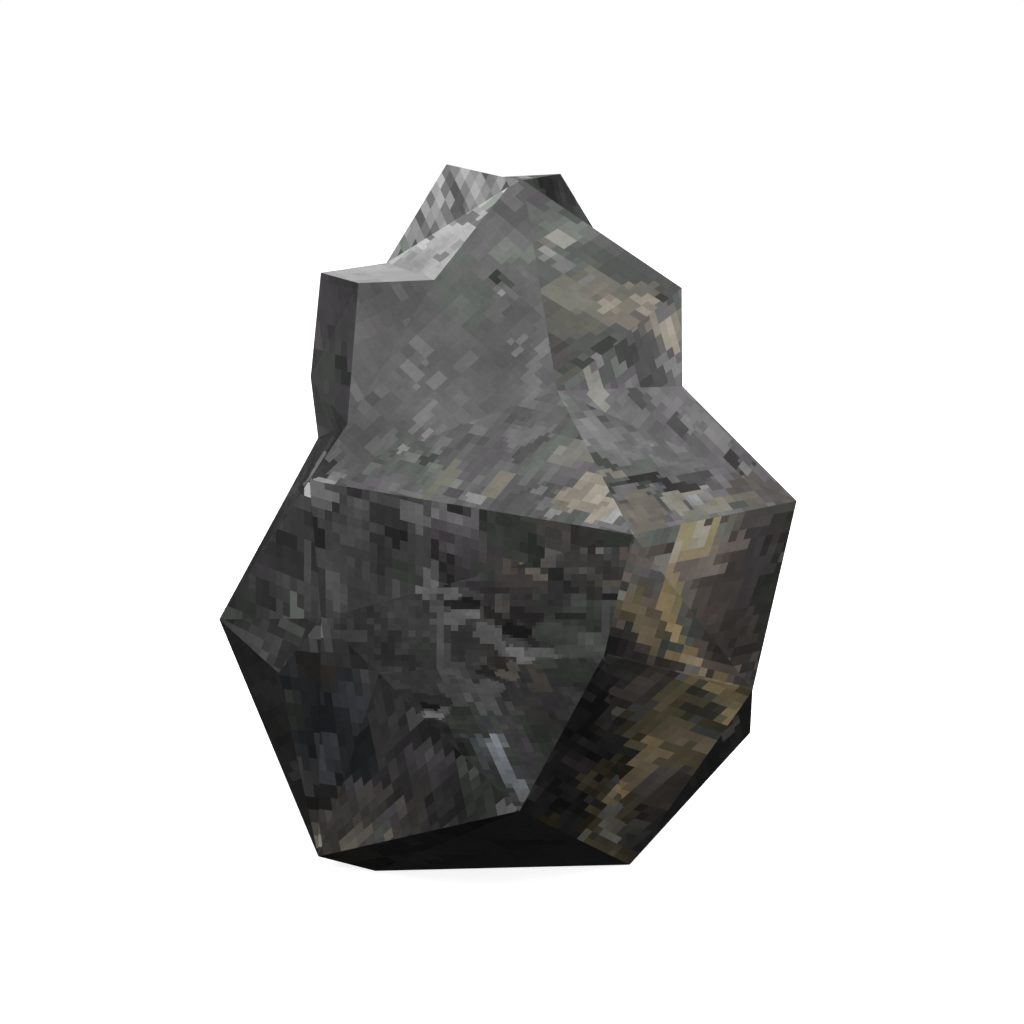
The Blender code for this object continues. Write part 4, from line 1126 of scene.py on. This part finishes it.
studio = {
    "floorSize": 12.0,        # metres
    "floorGrey": 0.85,
    "floorRoughness": 0.9,
    "floorGlow": 0.85,
    "sky": (
        # height, from -1 straight down to 1 straight up, and how bright it is there
        (-0.6, 0.07), (-0.15, 0.075), (0.0, 0.05), (0.34, 0.25),
        (0.64, 0.40), (0.87, 1.45), (1.0, 1.7),
    ),
    "skyTop": 2.0,            # the brightest that the sky can be set to
    "lampAim": 0.25,          # metres above the floor
    "lamps": (
        # degrees round from the front and degrees up; metres away, metres wide, watts
        ("key", 30, 65, 2.6, 1.5, 56.0),
        ("back", 208, 32, 2.6, 2.2, 18.0),
        ("side", 80, 12, 2.6, 1.2, 24.0),
    ),
}


def makeFloor(settings):
    half, grey = settings["floorSize"] / 2, settings["floorGrey"]
    corners = [(-half, -half, 0), (half, -half, 0), (half, half, 0), (-half, half, 0)]
    mesh = bpy.data.meshes.new("floor")
    mesh.from_pydata(corners, [], [(0, 1, 2, 3)])
    floor = bpy.data.objects.new("floor", mesh)
    bpy.context.scene.collection.objects.link(floor)
    material = bpy.data.materials.new("paleFloor")
    material.use_nodes = True
    shader = material.node_tree.nodes["Principled BSDF"]
    shader.inputs["Base Color"].default_value = (grey, grey, grey, 1)
    shader.inputs["Roughness"].default_value = settings["floorRoughness"]
    shader.inputs["Specular IOR Level"].default_value = 0.0
    shader.inputs["Emission Color"].default_value = (1, 1, 1, 1)
    shader.inputs["Emission Strength"].default_value = settings["floorGlow"]
    mesh.materials.append(material)
    floor.visible_diffuse = False
    floor.visible_glossy = False


def makeSky(settings):
    # plain white to the camera, and a soft sky, brightest overhead, to the stone
    world = bpy.data.worlds.new("studio")
    bpy.context.scene.world = world
    world.use_nodes = True
    nodes = world.node_tree.nodes
    links = world.node_tree.links
    nodes.clear()
    out = nodes.new("ShaderNodeOutputWorld")
    lit = nodes.new("ShaderNodeBackground")
    seen = nodes.new("ShaderNodeBackground")
    seen.inputs["Color"].default_value = (1, 1, 1, 1)
    choose = nodes.new("ShaderNodeMixShader")
    path = nodes.new("ShaderNodeLightPath")
    where = nodes.new("ShaderNodeTexCoord")
    split = nodes.new("ShaderNodeSeparateXYZ")
    fade = nodes.new("ShaderNodeFloatCurve")
    points = fade.mapping.curves[0].points
    for index, (height, glow) in enumerate(settings["sky"]):
        place = ((height + 1) / 2, glow / settings["skyTop"])   # a curve runs from 0 to 1
        if index < 2:
            points[index].location = place
        else:
            points.new(*place)
    for point in points:
        point.handle_type = "VECTOR"
    fade.mapping.update()
    rise = nodes.new("ShaderNodeMath")
    rise.operation = "MULTIPLY_ADD"
    rise.inputs[1].default_value = 0.5
    rise.inputs[2].default_value = 0.5
    brighten = nodes.new("ShaderNodeMath")
    brighten.operation = "MULTIPLY"
    brighten.inputs[1].default_value = settings["skyTop"]
    links.new(where.outputs["Generated"], split.inputs[0])
    links.new(split.outputs["Z"], rise.inputs[0])
    links.new(rise.outputs[0], fade.inputs["Value"])
    links.new(fade.outputs["Value"], brighten.inputs[0])
    links.new(brighten.outputs[0], lit.inputs["Strength"])
    links.new(path.outputs["Is Camera Ray"], choose.inputs[0])
    links.new(lit.outputs[0], choose.inputs[1])
    links.new(seen.outputs[0], choose.inputs[2])
    links.new(choose.outputs[0], out.inputs["Surface"])


def makeLamps(settings):
    for name, turn, up, far, wide, power in settings["lamps"]:
        lamp = bpy.data.lights.new(name, "AREA")
        lamp.energy = power
        lamp.size = wide
        holder = bpy.data.objects.new(name, lamp)
        holder.visible_camera = False
        turn, up = math.radians(turn), math.radians(up)
        level = math.cos(up)
        toward = Vector((math.sin(turn) * level, -math.cos(turn) * level, math.sin(up)))
        holder.location = toward * far + Vector((0, 0, settings["lampAim"]))
        holder.rotation_euler = toward.to_track_quat("Z", "Y").to_euler()
        bpy.context.scene.collection.objects.link(holder)


makeFloor(studio)
makeSky(studio)
makeLamps(studio)
bpy.context.scene.view_settings.view_transform = "Standard"
print("studio set")
